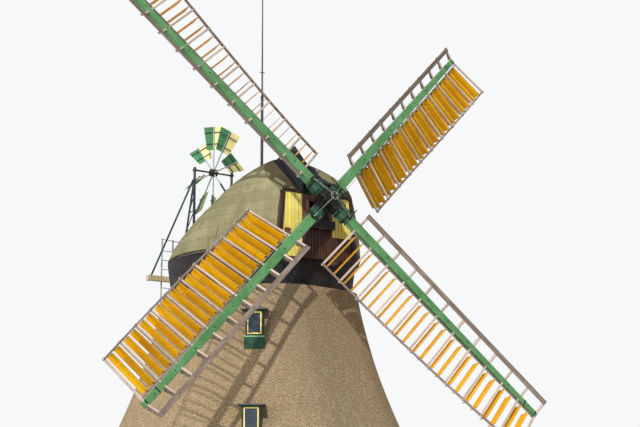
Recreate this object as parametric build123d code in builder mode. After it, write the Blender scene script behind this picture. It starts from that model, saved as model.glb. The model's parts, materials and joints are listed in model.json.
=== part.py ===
from build123d import *
from math import cos, radians, sin, sqrt, tan
import os

os.makedirs("parts", exist_ok=True)

# A thatched octagonal smock mill with a boat-shaped cap, four shutter sails and a fantail.
# Millimetres, +Z up, origin on the tower's axis at ground level. One tower face looks along -Y.
# The cap, with all that it carries, is modelled with the sails looking along -Y, then turned.

# Driving dimensions of the tower
tower_faces = 8
brick_apothem = 4900.0
brick_thickness = 400.0
eave_apothem = 5600.0
eave_level = 2200.0
top_apothem = 3400.0
top_level = 8450.0
flare_radius = 19300.0
thatch_thickness = 380.0
corner_rounding = 1.045
ground_floor_thickness = 100.0
floor_thickness = 80.0
first_floor_level = 2650.0
second_floor_level = 5750.0

# Driving dimensions of doors and windows
window_width = 580.0
window_height = 840.0
window_casing = 55.0
lower_window_sill = 3540.0
upper_window_sill = 6670.0
apron_width = 670.0
apron_height = 420.0
board_thickness = 30.0
lintel_width = 870.0
lintel_thickness = 45.0
lintel_reach = 120.0
glass_thickness = 12.0
glass_setback = 60.0
base_window_size = 900.0
base_window_sill = 900.0
door_width = 1000.0
door_height = 2000.0
door_frame_width = 80.0
door_leaf_thickness = 45.0

# Driving dimensions of the cap
cap_turn = 34.0
curb_height = 400.0
curb_width = 300.0
curb_rise = 300.0
cap_ring_height = 500.0
sheer_offset = 820.0
sheer_width = 250.0
sheer_height = 350.0
sheer_front = -3500.0
sheer_tail = 5250.0
rim_height = 90.0
rim_width = 220.0
rim_inset = 20.0
front_plane = -3650.0
widest_station = -300.0
front_half_width = 1600.0
front_curve = 1.8
widest_half_width = 3400.0
tail_station = 3500.0
ridge_start = 0.0
ridge_height = 3480.0
front_fullness = 2.3
tail_fullness = 1.25
roof_thickness = 120.0
front_bays = 4
tail_shares = (0.3, 0.55, 0.75, 0.88, 0.96, 0.992)
roof_facets = 8
hip_level = 11500.0
hip_slope = 44.0
skirt_boards = 32
skirt_bottom_apothem = 3200.0
skirt_top_apothem = 3360.0
skirt_thickness = 60.0

gable_thickness = 40.0
gable_bottom = 9330.0
gable_foot = 1479.0
gable_head = 1310.0
middle_half_width = 600.0
beam_bottom = 10330.0
beam_height = 300.0
beam_depth = 360.0
beam_reach = 200.0
bearing_width = 620.0
shaft_opening_height = 640.0
trim_width = 110.0
trim_thickness = 35.0
hatch_offset = 1160.0
hatch_level = 10160.0
hatch_width = 260.0
hatch_height = 210.0
tie_stations = (500.0, -1800.0)
tie_width = 300.0
hood_front = -3700.0
hood_peak = -2220.0
hood_back = -150.0
hood_half_width = 620.0
hood_eave = 11950.0
hood_eave_crown = 30.0
hood_peak_half = 500.0
hood_shoulder = 12700.0
hood_top = 13580.0
hood_back_half = 60.0
hood_back_level = 13180.0
hood_back_crown = 40.0
hood_thickness = 40.0
hood_crest_thickness = 60.0
pole_station = 50.0
pole_foot_radius = 55.0
pole_radius = 32.0
pole_foot_depth = 200.0
pole_step = 16100.0
pole_cleat = 17000.0
cleat_length = 220.0
cleat_size = 30.0
pole_top = 20100.0
crossbeam_station = 4600.0
crossbeam_reach = 2350.0
crossbeam_size = 200.0
platform_half = 770.0
platform_thickness = 40.0
platform_gap = 100.0
ladder_offset = 1470.0
ladder_width = 460.0
ladder_rail = 50.0
ladder_bottom = 7400.0
ladder_top = 11300.0
rung_spacing = 360.0
rung_size = 32.0

# Driving dimensions of the wind shaft and the sails
shaft_tilt = 14.0
hub_reach = 4090.0
hub_level = 11130.0
shaft_radius = 220.0
tail_journal_radius = 120.0
shaft_end = 600.0
bay = 800.0
outer_first_bar = 1320.0
outer_bars = 12
inner_first_bar = 2110.0
inner_bars = 11
stock_spacing = 280.0
stock_tip = 10180.0
stock_root_width = 340.0
stock_root_depth = 250.0
stock_tip_width = 200.0
stock_tip_depth = 160.0
stock_straight = 1000.0
root_trailing_width = 1830.0
tip_trailing_width = 1740.0
root_weather = 22.5
tip_weather = -3.0
weather_power = 1.6
bar_width = 70.0
bar_depth = 60.0
bar_setback = 5.0
bar_overhang = 60.0
hem_width = 60.0
hem_depth = 75.0
leading_lean = 20.0
leading_reach = 620.0
leading_board_width = 170.0
leading_board_depth = 28.0
leading_board_bite = 2.0
inner_rail_gap = 70.0
inner_rail_width = 40.0
inner_rail_depth = 50.0
shutter_shares = (0.21, 0.63)
shutter_height = 400.0
shutter_front = 100.0
shutter_thickness = 14.0
shutter_inset = 12.0
shutter_play = 4.0
shutter_pin = 16.0
poll_radius = 300.0
poll_back = 200.0
poll_front = 490.0
mortise_reach = 420.0
mortise_wall = 60.0
cheek_length = 450.0
cheek_thickness = 60.0
strap_shares = (0.2, 0.85)
strap_width = 50.0
strap_thickness = 18.0
strap_bolt_radius = 16.0
strap_bolt_reach = 40.0
gear_ring_radius = 150.0
gear_ring_width = 30.0
gear_ring_thickness = 26.0
gear_level = 640.0
gear_boss_radius = 62.0
gear_arm_size = 32.0
crank_reach = 905.0
crank_rise = 36.0
crank_axle_radius = 17.0
crank_axle_half = 450.0
crank_lug = (90.0, 150.0)
crank_arm_reach = 210.0
crank_arm_rise = 90.0
rod_size = 16.0
rod_play = 1.2
inner_turn = 45
outer_turn = 135

# Driving dimensions of the fantail
fan_station = 3800.0
fan_level = 13970.0
fan_radius = 1900.0
fan_inner_radius = 950.0
fan_blades = 8
fan_pitch = 45.0
vane_outer_width = 860.0
vane_inner_width = 580.0
vane_thickness = 14.0
spoke_size = 46.0
vane_batten = 30.0
vane_batten_shares = (0.25, 0.75)
fan_hub_apothem = 150.0
fan_hub_length = 260.0
fan_axle_radius = 35.0
fan_axle_overhang = 80.0
fan_post_offset = 820.0
fan_leg_size = 80.0
fan_leg_spread = 1220.0
fan_leg_head = 120.0
fan_leg_overrun = 0.03
rear_leg_drop = 250.0
rear_leg_size = 60.0
post_bays = 6
post_rail_size = 36.0
post_brace_size = 30.0
fan_strut_size = 60.0
fan_strut_drop = 380.0
fan_strut_inset = 150.0
handrail_share = 0.382
handrail_climb = 110.0
handrail_size = 36.0

# Clearances
seat = 0.3
running = 0.08
turning_gap = 0.5
skirt_gap = 20.0

# Levels and stations that follow from the sizes above
face_angle = 360 / tower_faces
half_face = radians(face_angle / 2)
curb_top = top_level + curb_rise
cap_ring_bottom = curb_top + turning_gap
sheer_bottom = cap_ring_bottom + cap_ring_height
sheer_top = sheer_bottom + sheer_height
eave = sheer_top + rim_height
hub = (0, -hub_reach, hub_level)
tilt = radians(shaft_tilt)
tail_run = tail_station - widest_station
front_run = widest_station - front_plane
sail_plane = Plane(origin=hub, x_dir=(1, 0, 0), z_dir=(0, -cos(tilt), sin(tilt)))
cap_place = Location((0, 0, 0), (0, 0, cap_turn))
above = (Align.CENTER, Align.CENTER, Align.MIN)
below = (Align.CENTER, Align.CENTER, Align.MAX)
behind = (Align.CENTER, Align.MIN, Align.MIN)
sail_place = cap_place * sail_plane.location


def save(shape, name, place=Location()):
    """Place a finished piece, label it and write it."""
    piece = shape.moved(place)
    piece.label = name
    export_step(piece, f"parts/{name}.step")


# The tower's flare is one arc, with its centre outside and above the tower
chord_run = eave_apothem - top_apothem
chord_rise = top_level - eave_level
chord = sqrt(chord_run**2 + chord_rise**2)
centre_distance = sqrt(flare_radius**2 - (chord / 2) ** 2)
flare_centre = (
    (eave_apothem + top_apothem) / 2 + centre_distance * chord_rise / chord,
    (eave_level + top_level) / 2 + centre_distance * chord_run / chord,
)


def flare(level):
    """Apothem of the thatch's outer face at a level."""
    return flare_centre[0] - sqrt(flare_radius**2 - (level - flare_centre[1]) ** 2)


def flare_height(apothem):
    """Level at which the thatch's outer face has an apothem."""
    return flare_centre[1] - sqrt(flare_radius**2 - (flare_centre[0] - apothem) ** 2)


def flare_arc(scale, inset):
    """Arc of the flare in the YZ plane, on the -Y side."""
    middle = (eave_level + top_level) / 2
    return [(-(flare(z) * scale - inset), z) for z in (eave_level, middle, top_level)]


def wedge(reach):
    """Plan of one eighth of the tower, on the -Y side."""
    spread = reach * sin(half_face) / cos(half_face)
    with BuildSketch(Plane.XY) as plan:
        with BuildLine():
            Polyline((0, 0), (-spread, -reach), (spread, -reach), close=True)
        make_face()
    return plan.sketch


def octagon(apothem, level):
    """Plan octagon with a side that looks along -Y."""
    with BuildSketch(Plane.XY.offset(level)) as plan:
        RegularPolygon(apothem, tower_faces, major_radius=False, rotation=face_angle / 2)
    return plan.sketch


# Brick base
brick_top = flare_height(brick_apothem + thatch_thickness) - seat


def brick_face(window, door):
    """One brick wall of the base, on the -Y side, with its window or doorway cut through."""
    with BuildPart() as face:
        with BuildSketch(Plane.YZ):
            with BuildLine():
                Polyline(
                    (-brick_apothem, 0),
                    (-brick_apothem, brick_top),
                    (-brick_apothem + brick_thickness, brick_top),
                    (-brick_apothem + brick_thickness, 0),
                    close=True,
                )
            make_face()
        extrude(amount=brick_apothem, both=True)
        extrude(wedge(2 * brick_apothem), amount=brick_top, mode=Mode.INTERSECT)
        middle = -brick_apothem + brick_thickness / 2
        if window:
            with Locations((0, middle, base_window_sill + base_window_size / 2)):
                Box(base_window_size, 2 * brick_thickness, base_window_size, mode=Mode.SUBTRACT)
        if door:
            with Locations((0, middle, ground_floor_thickness + door_height / 2)):
                Box(door_width, 2 * brick_thickness, door_height, mode=Mode.SUBTRACT)
    return face.part


with BuildPart() as brick_walls_windows:
    for turn in (0, 180):
        add(brick_face(True, False).rotate(Axis.Z, turn))
save(brick_walls_windows.part, "brick_walls_windows")

with BuildPart() as brick_walls_doors:
    for turn in (90, 270):
        add(brick_face(False, True).rotate(Axis.Z, turn))
save(brick_walls_doors.part, "brick_walls_doors")

with BuildPart() as brick_walls_corners:
    for turn in (45, 135, 225, 315):
        add(brick_face(False, False).rotate(Axis.Z, turn))
save(brick_walls_corners.part, "brick_walls_corners")

# Floors
inner_brick = brick_apothem - brick_thickness
with BuildPart() as ground_floor:
    extrude(octagon(inner_brick, 0), amount=ground_floor_thickness)
save(ground_floor.part, "ground_floor")

with BuildPart() as first_floor:
    extrude(octagon(inner_brick, first_floor_level - floor_thickness), amount=floor_thickness)
save(first_floor.part, "first_floor")

second_floor_apothem = flare(second_floor_level) - thatch_thickness - seat
with BuildPart() as second_floor:
    level = second_floor_level - floor_thickness
    extrude(octagon(second_floor_apothem, level), amount=floor_thickness)
save(second_floor.part, "second_floor")


# Thatched smock, one solid for each of the eight faces
def thatch_face(sills):
    """One face of the thatched smock on the -Y side, with a window cut above each sill."""
    outer = flare_arc(1, 0)
    inner = flare_arc(1, thatch_thickness)
    rounding = flare_arc(corner_rounding, 0)
    with BuildPart() as face:
        with BuildSketch(Plane.YZ):
            with BuildLine():
                ThreePointArc(*outer)
                Line(outer[-1], inner[-1])
                ThreePointArc(*inner)
                Line(inner[0], outer[0])
            make_face()
        extrude(amount=eave_apothem, both=True)
        extrude(wedge(2 * eave_apothem), amount=2 * top_level, mode=Mode.INTERSECT)
        with BuildSketch(Plane.YZ) as round_profile:
            with BuildLine():
                ThreePointArc(*rounding)
                Polyline(rounding[-1], (0, top_level), (0, eave_level), rounding[0])
            make_face()
        revolve(axis=Axis.Z, mode=Mode.INTERSECT)
        for sill in sills:
            with Locations((0, -flare(sill), sill + window_height / 2)):
                Box(window_width, 4 * thatch_thickness, window_height, mode=Mode.SUBTRACT)
    return face.part


face_names = ("front", "front_right", "right", "back_right", "back", "back_left", "left", "front_left")
window_sills = (lower_window_sill, upper_window_sill)
for number, face_name in enumerate(face_names):
    sills = window_sills if face_name in ("front", "back") else ()
    save(thatch_face(sills).rotate(Axis.Z, number * face_angle), f"thatch_{face_name}")


# Windows: deep casings through the thatch, with a lintel board over and a boarded apron under
def window_front(sill):
    """Apothem of a window's front: level with the thatch at the foot of its apron."""
    return flare(sill - apron_height) + seat


def thatch_casing(sill):
    front = window_front(sill)
    back = flare(sill + window_height) - thatch_thickness
    with BuildPart() as casing:
        with Locations((0, -(front + back) / 2, sill + window_height / 2)):
            Box(window_width, front - back, window_height)
            Box(
                window_width - 2 * window_casing,
                front - back,
                window_height - 2 * window_casing,
                mode=Mode.SUBTRACT,
            )
    return casing.part


def thatch_pane(sill):
    with BuildPart() as pane:
        with Locations((0, -window_front(sill) + glass_setback, sill + window_height / 2)):
            Box(window_width - 2 * window_casing, glass_thickness, window_height - 2 * window_casing)
    return pane.part


def base_casing():
    with BuildPart() as casing:
        with Locations((0, -brick_apothem + brick_thickness / 2, base_window_sill + base_window_size / 2)):
            Box(base_window_size, brick_thickness / 2, base_window_size)
            glass_size = base_window_size - 2 * window_casing
            Box(glass_size, brick_thickness, glass_size, mode=Mode.SUBTRACT)
    return casing.part


def base_pane():
    with BuildPart() as pane:
        with Locations((0, -brick_apothem + brick_thickness / 2, base_window_sill + base_window_size / 2)):
            glass_size = base_window_size - 2 * window_casing
            Box(glass_size, glass_thickness, glass_size)
    return pane.part


def lintel(sill):
    top = sill + window_height
    back = flare(top) + seat
    front = window_front(sill) + lintel_reach
    with BuildPart() as board:
        with Locations((0, -(front + back) / 2, top + lintel_thickness / 2)):
            Box(lintel_width, front - back, lintel_thickness)
    return board.part


def apron(sill):
    with BuildPart() as board:
        with Locations((0, -window_front(sill) - board_thickness / 2, sill - apron_height / 2)):
            Box(apron_width, board_thickness, apron_height)
    return board.part


with BuildPart() as window_frames:
    for turn in (0, 180):
        add(base_casing().rotate(Axis.Z, turn))
        for sill in window_sills:
            add(thatch_casing(sill).rotate(Axis.Z, turn))
save(window_frames.part, "window_frames")

with BuildPart() as window_panes:
    for turn in (0, 180):
        add(base_pane().rotate(Axis.Z, turn))
        for sill in window_sills:
            add(thatch_pane(sill).rotate(Axis.Z, turn))
save(window_panes.part, "window_panes")

with BuildPart() as window_lintels:
    for turn in (0, 180):
        for sill in window_sills:
            add(lintel(sill).rotate(Axis.Z, turn))
save(window_lintels.part, "window_lintels")

with BuildPart() as window_aprons:
    for turn in (0, 180):
        for sill in window_sills:
            add(apron(sill).rotate(Axis.Z, turn))
save(window_aprons.part, "window_aprons")

# Doors in the two side faces of the base
door_centre = ground_floor_thickness + door_height / 2
leaf_width = door_width - 2 * door_frame_width
leaf_height = door_height - door_frame_width
with BuildPart() as door_frames:
    for side in (-1, 1):
        with Locations((side * (brick_apothem - brick_thickness / 2), 0, door_centre)):
            Box(brick_thickness / 2, door_width, door_height)
        with Locations((side * (brick_apothem - brick_thickness / 2), 0, ground_floor_thickness)):
            Box(
                brick_thickness,
                leaf_width,
                leaf_height,
                align=above,
                mode=Mode.SUBTRACT,
            )
save(door_frames.part, "door_frames")

with BuildPart() as door_leaves:
    for side in (-1, 1):
        with Locations((side * (brick_apothem - brick_thickness / 2), 0, ground_floor_thickness)):
            Box(
                door_leaf_thickness,
                leaf_width - 2 * seat,
                leaf_height - seat,
                align=above,
            )
save(door_leaves.part, "door_leaves")

# Curb on top of the smock
curb_radius = top_apothem - thatch_thickness - seat
with BuildPart() as curb_ring:
    with BuildSketch(Plane.XY.offset(curb_top - curb_height)):
        Circle(curb_radius)
        Circle(curb_radius - curb_width, mode=Mode.SUBTRACT)
    extrude(amount=curb_height)
save(curb_ring.part, "curb_ring")

# Cap frame: the ring that turns on the curb, and the sheers that lie on it
with BuildPart() as cap_ring:
    with BuildSketch(Plane.XY.offset(cap_ring_bottom)):
        Circle(curb_radius)
        Circle(curb_radius - curb_width, mode=Mode.SUBTRACT)
    extrude(amount=cap_ring_height)
save(cap_ring.part, "cap_ring", cap_place)

with BuildPart() as cap_sheers:
    with BuildSketch(Plane.XY.offset(sheer_bottom)):
        with Locations((-sheer_offset, 0), (sheer_offset, 0)):
            with Locations((0, sheer_front)):
                Rectangle(sheer_width, sheer_tail - sheer_front, align=(Align.CENTER, Align.MIN))
    extrude(amount=sheer_height)
save(cap_sheers.part, "cap_sheers", cap_place)


# The boat-shaped roof is lofted through cross-sections across the cap, with boards as flat facets
def half_width(station):
    """Half width of the roof at its eave."""
    if station < widest_station:
        share = (widest_station - station) / front_run
        return widest_half_width - (widest_half_width - front_half_width) * share**front_curve
    share = (station - widest_station) / tail_run
    return widest_half_width * sqrt(1 - share**2)


def crest(station):
    """Height of the ridge over the eave."""
    share = max(0, (station - ridge_start) / (tail_station - ridge_start))
    return ridge_height * sqrt(1 - share**2)


def fullness(station):
    """Roundness of a cross-section: 2 is an ellipse, 1 has straight rafters."""
    share = min(1, max(0, (station - front_plane) / (ridge_start - front_plane)))
    return front_fullness + (tail_fullness - front_fullness) * share


def roof_section(station, inset):
    """Cross-section of the roof, set in from its outer face."""
    width = half_width(station) - inset
    height = crest(station) - inset
    power = 2 / fullness(station)
    turns = [radians(90 / roof_facets * step) for step in range(roof_facets)]
    right = [(width * cos(turn) ** power, height * sin(turn) ** power) for turn in turns]
    left = [(-x, y) for x, y in reversed(right)]
    with BuildSketch(Plane(origin=(0, station, eave), x_dir=(1, 0, 0), z_dir=(0, -1, 0))) as section:
        with BuildLine():
            Polyline(*right, (0, height), *left, close=True)
        make_face()
    return section.sketch


front_stations = [front_plane + front_run / front_bays * step for step in range(front_bays)]
tail_stations = [widest_station + tail_run * share for share in (0, *tail_shares)]


def roof_body(inset, end_shift):
    """Closed body of the roof; the shift moves its two end sections forward."""
    sections = [roof_section(station, inset) for station in front_stations + tail_stations]
    sections[0] = sections[0].moved(Location((0, -end_shift, 0)))
    sections[-1] = sections[-1].moved(Location((0, -end_shift, 0)))
    with BuildPart() as body:
        loft(sections, ruled=True)
    return body.part


def hip_cutter(offset):
    """Everything above the front hip, moved up by an offset."""
    slope = radians(hip_slope)
    run = 2 * front_run
    foot = (front_plane - roof_thickness, hip_level + offset - roof_thickness * tan(slope))
    with BuildPart() as cutter:
        with BuildSketch(Plane.YZ):
            with BuildLine():
                Polyline(
                    foot,
                    (foot[0] + run * cos(slope), foot[1] + run * sin(slope)),
                    (foot[0], foot[1] + run),
                    close=True,
                )
            make_face()
        extrude(amount=2 * front_half_width, both=True)
    return cutter.part


roof_outer = roof_body(0, 0) - hip_cutter(0)
with BuildPart() as cap_roof:
    add(roof_outer)
    add(roof_body(roof_thickness, roof_thickness) - hip_cutter(-roof_thickness), mode=Mode.SUBTRACT)
save(cap_roof.part, "cap_roof", cap_place)


def eave_outline(inset, front_inset):
    """Plan outline of the roof at its eave, set in from its outer face."""
    right = [(half_width(station) - inset, station) for station in front_stations]
    right[0] = (right[0][0], front_plane + front_inset)
    for share in (0, *tail_shares):
        across = (widest_half_width - inset) * sqrt(1 - share**2)
        right.append((across, widest_station + (tail_run - inset) * share))
    left = [(-x, y) for x, y in reversed(right)]
    with BuildSketch(Plane.XY.offset(sheer_top)) as outline:
        with BuildLine():
            Polyline(*right, *left, close=True)
        make_face()
    return outline.sketch


# Rim under the eave, with two ties across the sheers
with BuildPart() as eave_rim:
    extrude(eave_outline(rim_inset, gable_thickness + seat), amount=rim_height)
    extrude(eave_outline(rim_width, rim_width), amount=rim_height, mode=Mode.SUBTRACT)
    for tie_station in tie_stations:
        with Locations((0, tie_station, sheer_top)):
            Box(2 * half_width(tie_station) - rim_width, tie_width, rim_height, align=above)
save(eave_rim.part, "eave_rim", cap_place)

# Skirt of upright boards that hides the curb
def skirt_body(inset):
    with BuildPart() as body:
        for level, apothem in (
            (top_level + skirt_gap, skirt_bottom_apothem),
            (sheer_top, skirt_top_apothem),
        ):
            with BuildSketch(Plane.XY.offset(level)):
                RegularPolygon(apothem - inset, skirt_boards, major_radius=False)
        loft()
    return body.part


with BuildPart() as curb_skirt:
    add(skirt_body(0))
    add(skirt_body(skirt_thickness), mode=Mode.SUBTRACT)
    add(cap_sheers.part, mode=Mode.SUBTRACT)
save(curb_skirt.part, "curb_skirt", cap_place)


# Front of the cap: boards, trim, weather beam and neck bearing
def axis_level(station):
    """Level of the wind shaft's axis at a station along the cap."""
    return hub_level - (station + hub_reach) * tan(tilt)


boards_top = hip_level - roof_thickness - seat
with BuildPart() as gable_boards:
    extrude(roof_section(front_plane, roof_thickness + seat), amount=-gable_thickness)
    with Locations((0, front_plane, gable_bottom)):
        Box(2 * gable_foot, gable_thickness, eave - gable_bottom, align=behind)
    with Locations((0, front_plane, boards_top)):
        Box(4 * gable_foot, 4 * gable_thickness, ridge_height, align=above, mode=Mode.SUBTRACT)
    with Locations((0, front_plane, eave)):
        Box(2 * middle_half_width, 4 * gable_thickness, 2 * ridge_height, mode=Mode.SUBTRACT)
    with Locations((-hatch_offset, front_plane, hatch_level)):
        Box(hatch_width, 4 * gable_thickness, hatch_height, mode=Mode.SUBTRACT)
save(gable_boards.part, "gable_boards", cap_place)

with BuildPart() as front_boarding:
    with Locations((0, front_plane, gable_bottom)):
        Box(2 * (middle_half_width - seat), gable_thickness, boards_top - gable_bottom, align=behind)
    with Locations((0, front_plane, beam_bottom)):
        Box(2 * middle_half_width, 4 * gable_thickness, beam_height, align=above, mode=Mode.SUBTRACT)
    with Locations((0, front_plane, beam_bottom + beam_height)):
        Box(
            bearing_width + 2 * seat,
            4 * gable_thickness,
            shaft_opening_height,
            align=above,
            mode=Mode.SUBTRACT,
        )
save(front_boarding.part, "front_boarding", cap_place)

with BuildPart() as gable_trim:
    with BuildSketch(Plane.XZ.offset(-front_plane)):
        for side in (-1, 1):
            foot = side * (gable_foot - trim_width / 3)
            head = side * (gable_head - trim_width / 3)
            with BuildLine():
                Polyline(
                    (foot, gable_bottom),
                    (foot + side * trim_width, gable_bottom),
                    (head + side * trim_width, hip_level + trim_width),
                    (side * (hood_half_width + seat), hip_level + trim_width),
                    (side * (hood_half_width + seat), hip_level),
                    (head, hip_level),
                    close=True,
                )
            make_face()
    extrude(amount=trim_thickness)
save(gable_trim.part, "gable_trim", cap_place)

with BuildPart() as weather_beam:
    with Locations((0, front_plane - beam_reach, beam_bottom)):
        Box(2 * middle_half_width - 2 * seat, beam_depth, beam_height, align=behind)
save(weather_beam.part, "weather_beam", cap_place)

with BuildPart() as neck_bearing:
    bearing_level = axis_level(front_plane)
    with Locations((0, front_plane - beam_reach, beam_bottom + beam_height)):
        Box(bearing_width, beam_depth, bearing_level - beam_bottom - beam_height, align=behind)
    with BuildSketch(sail_plane):
        Circle(shaft_radius + running)
    extrude(amount=-hub_reach / 2, mode=Mode.SUBTRACT)
save(neck_bearing.part, "neck_bearing", cap_place)

with BuildPart() as thrust_bearing:
    station = tie_stations[0]
    with Locations((0, station, eave)):
        Box(bearing_width, tie_width, axis_level(station - tie_width / 2) - eave, align=above)
    with BuildSketch(sail_plane):
        Circle(tail_journal_radius + running)
    extrude(amount=-2 * hub_reach, mode=Mode.SUBTRACT)
save(thrust_bearing.part, "thrust_bearing", cap_place)


# Storm hood over the poll end, a bonnet with a rising crest
def hood_section(station, half, shoulder, crown):
    with BuildSketch(Plane(origin=(0, station, 0), x_dir=(1, 0, 0), z_dir=(0, -1, 0))) as section:
        with BuildLine():
            Polyline(
                (-half, hip_level),
                (-half, shoulder),
                (0, crown),
                (half, shoulder),
                (half, hip_level),
                close=True,
            )
        make_face()
    return section.sketch


def hood_body(inset, crest_inset):
    """Closed body of the hood, set in from its outer face."""
    with BuildPart() as body:
        sections = [
            hood_section(station, half - inset, shoulder - inset, crown - crest_inset)
            for station, half, shoulder, crown in (
                (hood_front, hood_half_width, hood_eave, hood_eave + hood_eave_crown),
                (hood_peak, hood_peak_half, hood_shoulder, hood_top),
                (hood_back, hood_back_half, hood_back_level, hood_back_level + hood_back_crown),
            )
        ]
        loft(sections, ruled=True)
    return body.part


with BuildPart() as storm_hood:
    add(hood_body(0, 0))
    add(hood_body(hood_thickness, hood_crest_thickness), mode=Mode.SUBTRACT)
    add(roof_outer, mode=Mode.SUBTRACT)
save(storm_hood.part, "storm_hood", cap_place)

# Flagpole on the ridge
with BuildPart() as flagpole:
    for radius, low, high in (
        (pole_foot_radius, eave + ridge_height - pole_foot_depth, pole_step),
        (pole_radius, pole_step, pole_top),
    ):
        with Locations((0, pole_station, low)):
            Cylinder(radius, high - low, align=above)
    with Locations((0, pole_station, pole_cleat)):
        Box(cleat_length, cleat_size, cleat_size)
    add(roof_outer, mode=Mode.SUBTRACT)
save(flagpole.part, "flagpole", cap_place)

# Tail stage: boards, crossbeam and ladder
with BuildPart() as tail_crossbeam:
    with Locations((0, crossbeam_station, sheer_top)):
        Box(2 * crossbeam_reach, crossbeam_size, crossbeam_size, align=above)
save(tail_crossbeam.part, "tail_crossbeam", cap_place)

with BuildPart() as tail_platform:
    for low, high in (
        (tail_station + platform_gap, crossbeam_station - crossbeam_size / 2),
        (crossbeam_station + crossbeam_size / 2, sheer_tail),
    ):
        with Locations((0, low, sheer_top)):
            Box(2 * platform_half, high - low, platform_thickness, align=behind)
save(tail_platform.part, "tail_platform", cap_place)

with BuildPart() as tail_ladder:
    station = crossbeam_station + crossbeam_size / 2 + ladder_rail / 2
    for side in (-1, 1):
        with Locations((-ladder_offset + side * ladder_width / 2, station, ladder_bottom)):
            Box(ladder_rail, ladder_rail, ladder_top - ladder_bottom, align=above)
    rungs = int((ladder_top - ladder_bottom) / rung_spacing)
    for rung in range(rungs):
        with Locations((-ladder_offset, station, ladder_bottom + rung_spacing * (rung + 0.5))):
            Box(ladder_width, rung_size, rung_size)
save(tail_ladder.part, "tail_ladder", cap_place)


# Fan posts: on each side a front leg and a raking back leg with lattice between them
def strut(start, end, size):
    """Square bar between two points."""
    path = Vector(end) - Vector(start)
    with BuildPart() as bar:
        with BuildSketch(Plane(origin=start, z_dir=path)):
            Rectangle(size, size)
        extrude(amount=path.length)
    return bar.part


rear_leg_rise = fan_level - rear_leg_drop - sheer_top


def rear_leg(side, share):
    """Point of the raking leg, at a share of its height."""
    return (
        side * fan_post_offset,
        fan_station + fan_leg_spread * (1 - share),
        sheer_top + rear_leg_rise * share,
    )


def front_leg(side, share):
    """Point of the upright leg, level with the raking leg's point."""
    return (side * fan_post_offset, fan_station, sheer_top + rear_leg_rise * share)


def fan_post(side):
    foot = front_leg(side, 0)
    with BuildPart() as post:
        add(strut(foot, (foot[0], foot[1], fan_level + fan_leg_head), fan_leg_size))
        add(strut(rear_leg(side, -fan_leg_overrun), rear_leg(side, 1), rear_leg_size))
        for index in range(1, post_bays):
            low = index / post_bays
            high = (index + 1) / post_bays
            add(strut(front_leg(side, low), rear_leg(side, low), post_rail_size))
            if index < post_bays - 1:
                add(strut(rear_leg(side, low), front_leg(side, high), post_brace_size))
        with Locations(foot):
            Box(4 * fan_leg_size, 4 * fan_leg_spread, rear_leg_rise, align=below, mode=Mode.SUBTRACT)
        with Locations((foot[0], foot[1], fan_level)):
            Cylinder(
                fan_axle_radius + running,
                4 * fan_leg_size,
                rotation=(0, 90, 0),
                mode=Mode.SUBTRACT,
            )
    return post.part


with BuildPart() as fan_post_left:
    add(fan_post(-1))
save(fan_post_left.part, "fan_post_left", cap_place)

with BuildPart() as fan_post_right:
    add(fan_post(1))
save(fan_post_right.part, "fan_post_right", cap_place)

with BuildPart() as fan_struts:
    for side in (-1, 1):
        head = (side * (fan_post_offset + fan_leg_size / 4), fan_station, fan_level - fan_strut_drop)
        foot = (
            side * (crossbeam_reach - fan_strut_inset),
            crossbeam_station,
            sheer_top + crossbeam_size - fan_strut_size / 2,
        )
        add(strut(head, foot, fan_strut_size))
    add(fan_post_left.part, mode=Mode.SUBTRACT)
    add(fan_post_right.part, mode=Mode.SUBTRACT)
    add(tail_crossbeam.part, mode=Mode.SUBTRACT)
save(fan_struts.part, "fan_struts", cap_place)

# Handrail between the ladder's head and the left fan post
with BuildPart() as tail_handrail:
    foot = rear_leg(-1, handrail_share)
    head = (-ladder_offset - ladder_width / 2, crossbeam_station + crossbeam_size / 2, foot[2])
    head = (head[0] - ladder_rail, head[1] + ladder_rail / 2, head[2] + handrail_climb)
    add(strut(head, foot, handrail_size))
    add(tail_ladder.part, mode=Mode.SUBTRACT)
    add(fan_post_left.part, mode=Mode.SUBTRACT)
save(tail_handrail.part, "tail_handrail", cap_place)

# Fantail: hub with its axle, spokes with battens, and vanes that are half green and half yellow
fan_centre = Location((0, fan_station, fan_level))
with BuildPart() as fan_hub:
    with BuildSketch(Plane.YZ):
        RegularPolygon(fan_hub_apothem, fan_blades, major_radius=False, rotation=180 / fan_blades)
    extrude(amount=fan_hub_length / 2, both=True)
    Cylinder(fan_axle_radius, 2 * (fan_post_offset + fan_axle_overhang), rotation=(0, 90, 0))
save(fan_hub.part, "fan_hub", cap_place * fan_centre)

pitch = radians(fan_pitch)
vane_plane = Plane(
    origin=(0, 0, 0),
    x_dir=(cos(pitch), -sin(pitch), 0),
    z_dir=(-sin(pitch), -cos(pitch), 0),
)


def vane_half(side):
    """Half of one vane's board, to one side of its spoke."""
    with BuildPart() as board:
        with BuildSketch(vane_plane.offset(-spoke_size / 2)):
            with BuildLine():
                Polyline(
                    (side * seat, fan_inner_radius),
                    (side * vane_inner_width / 2, fan_inner_radius),
                    (side * vane_outer_width / 2, fan_radius),
                    (side * seat, fan_radius),
                    close=True,
                )
            make_face()
        extrude(amount=-vane_thickness)
    return board.part


def fan_spoke():
    with BuildPart() as spoke:
        with BuildSketch(vane_plane.offset(-spoke_size / 2)):
            with Locations((0, fan_hub_apothem)):
                Rectangle(spoke_size, fan_radius - fan_hub_apothem, align=(Align.CENTER, Align.MIN))
            for share in vane_batten_shares:
                radius = fan_inner_radius + share * (fan_radius - fan_inner_radius)
                width = vane_inner_width + share * (vane_outer_width - vane_inner_width)
                with Locations((0, radius)):
                    Rectangle(width, vane_batten)
        extrude(amount=spoke_size)
    return spoke.part


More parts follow.
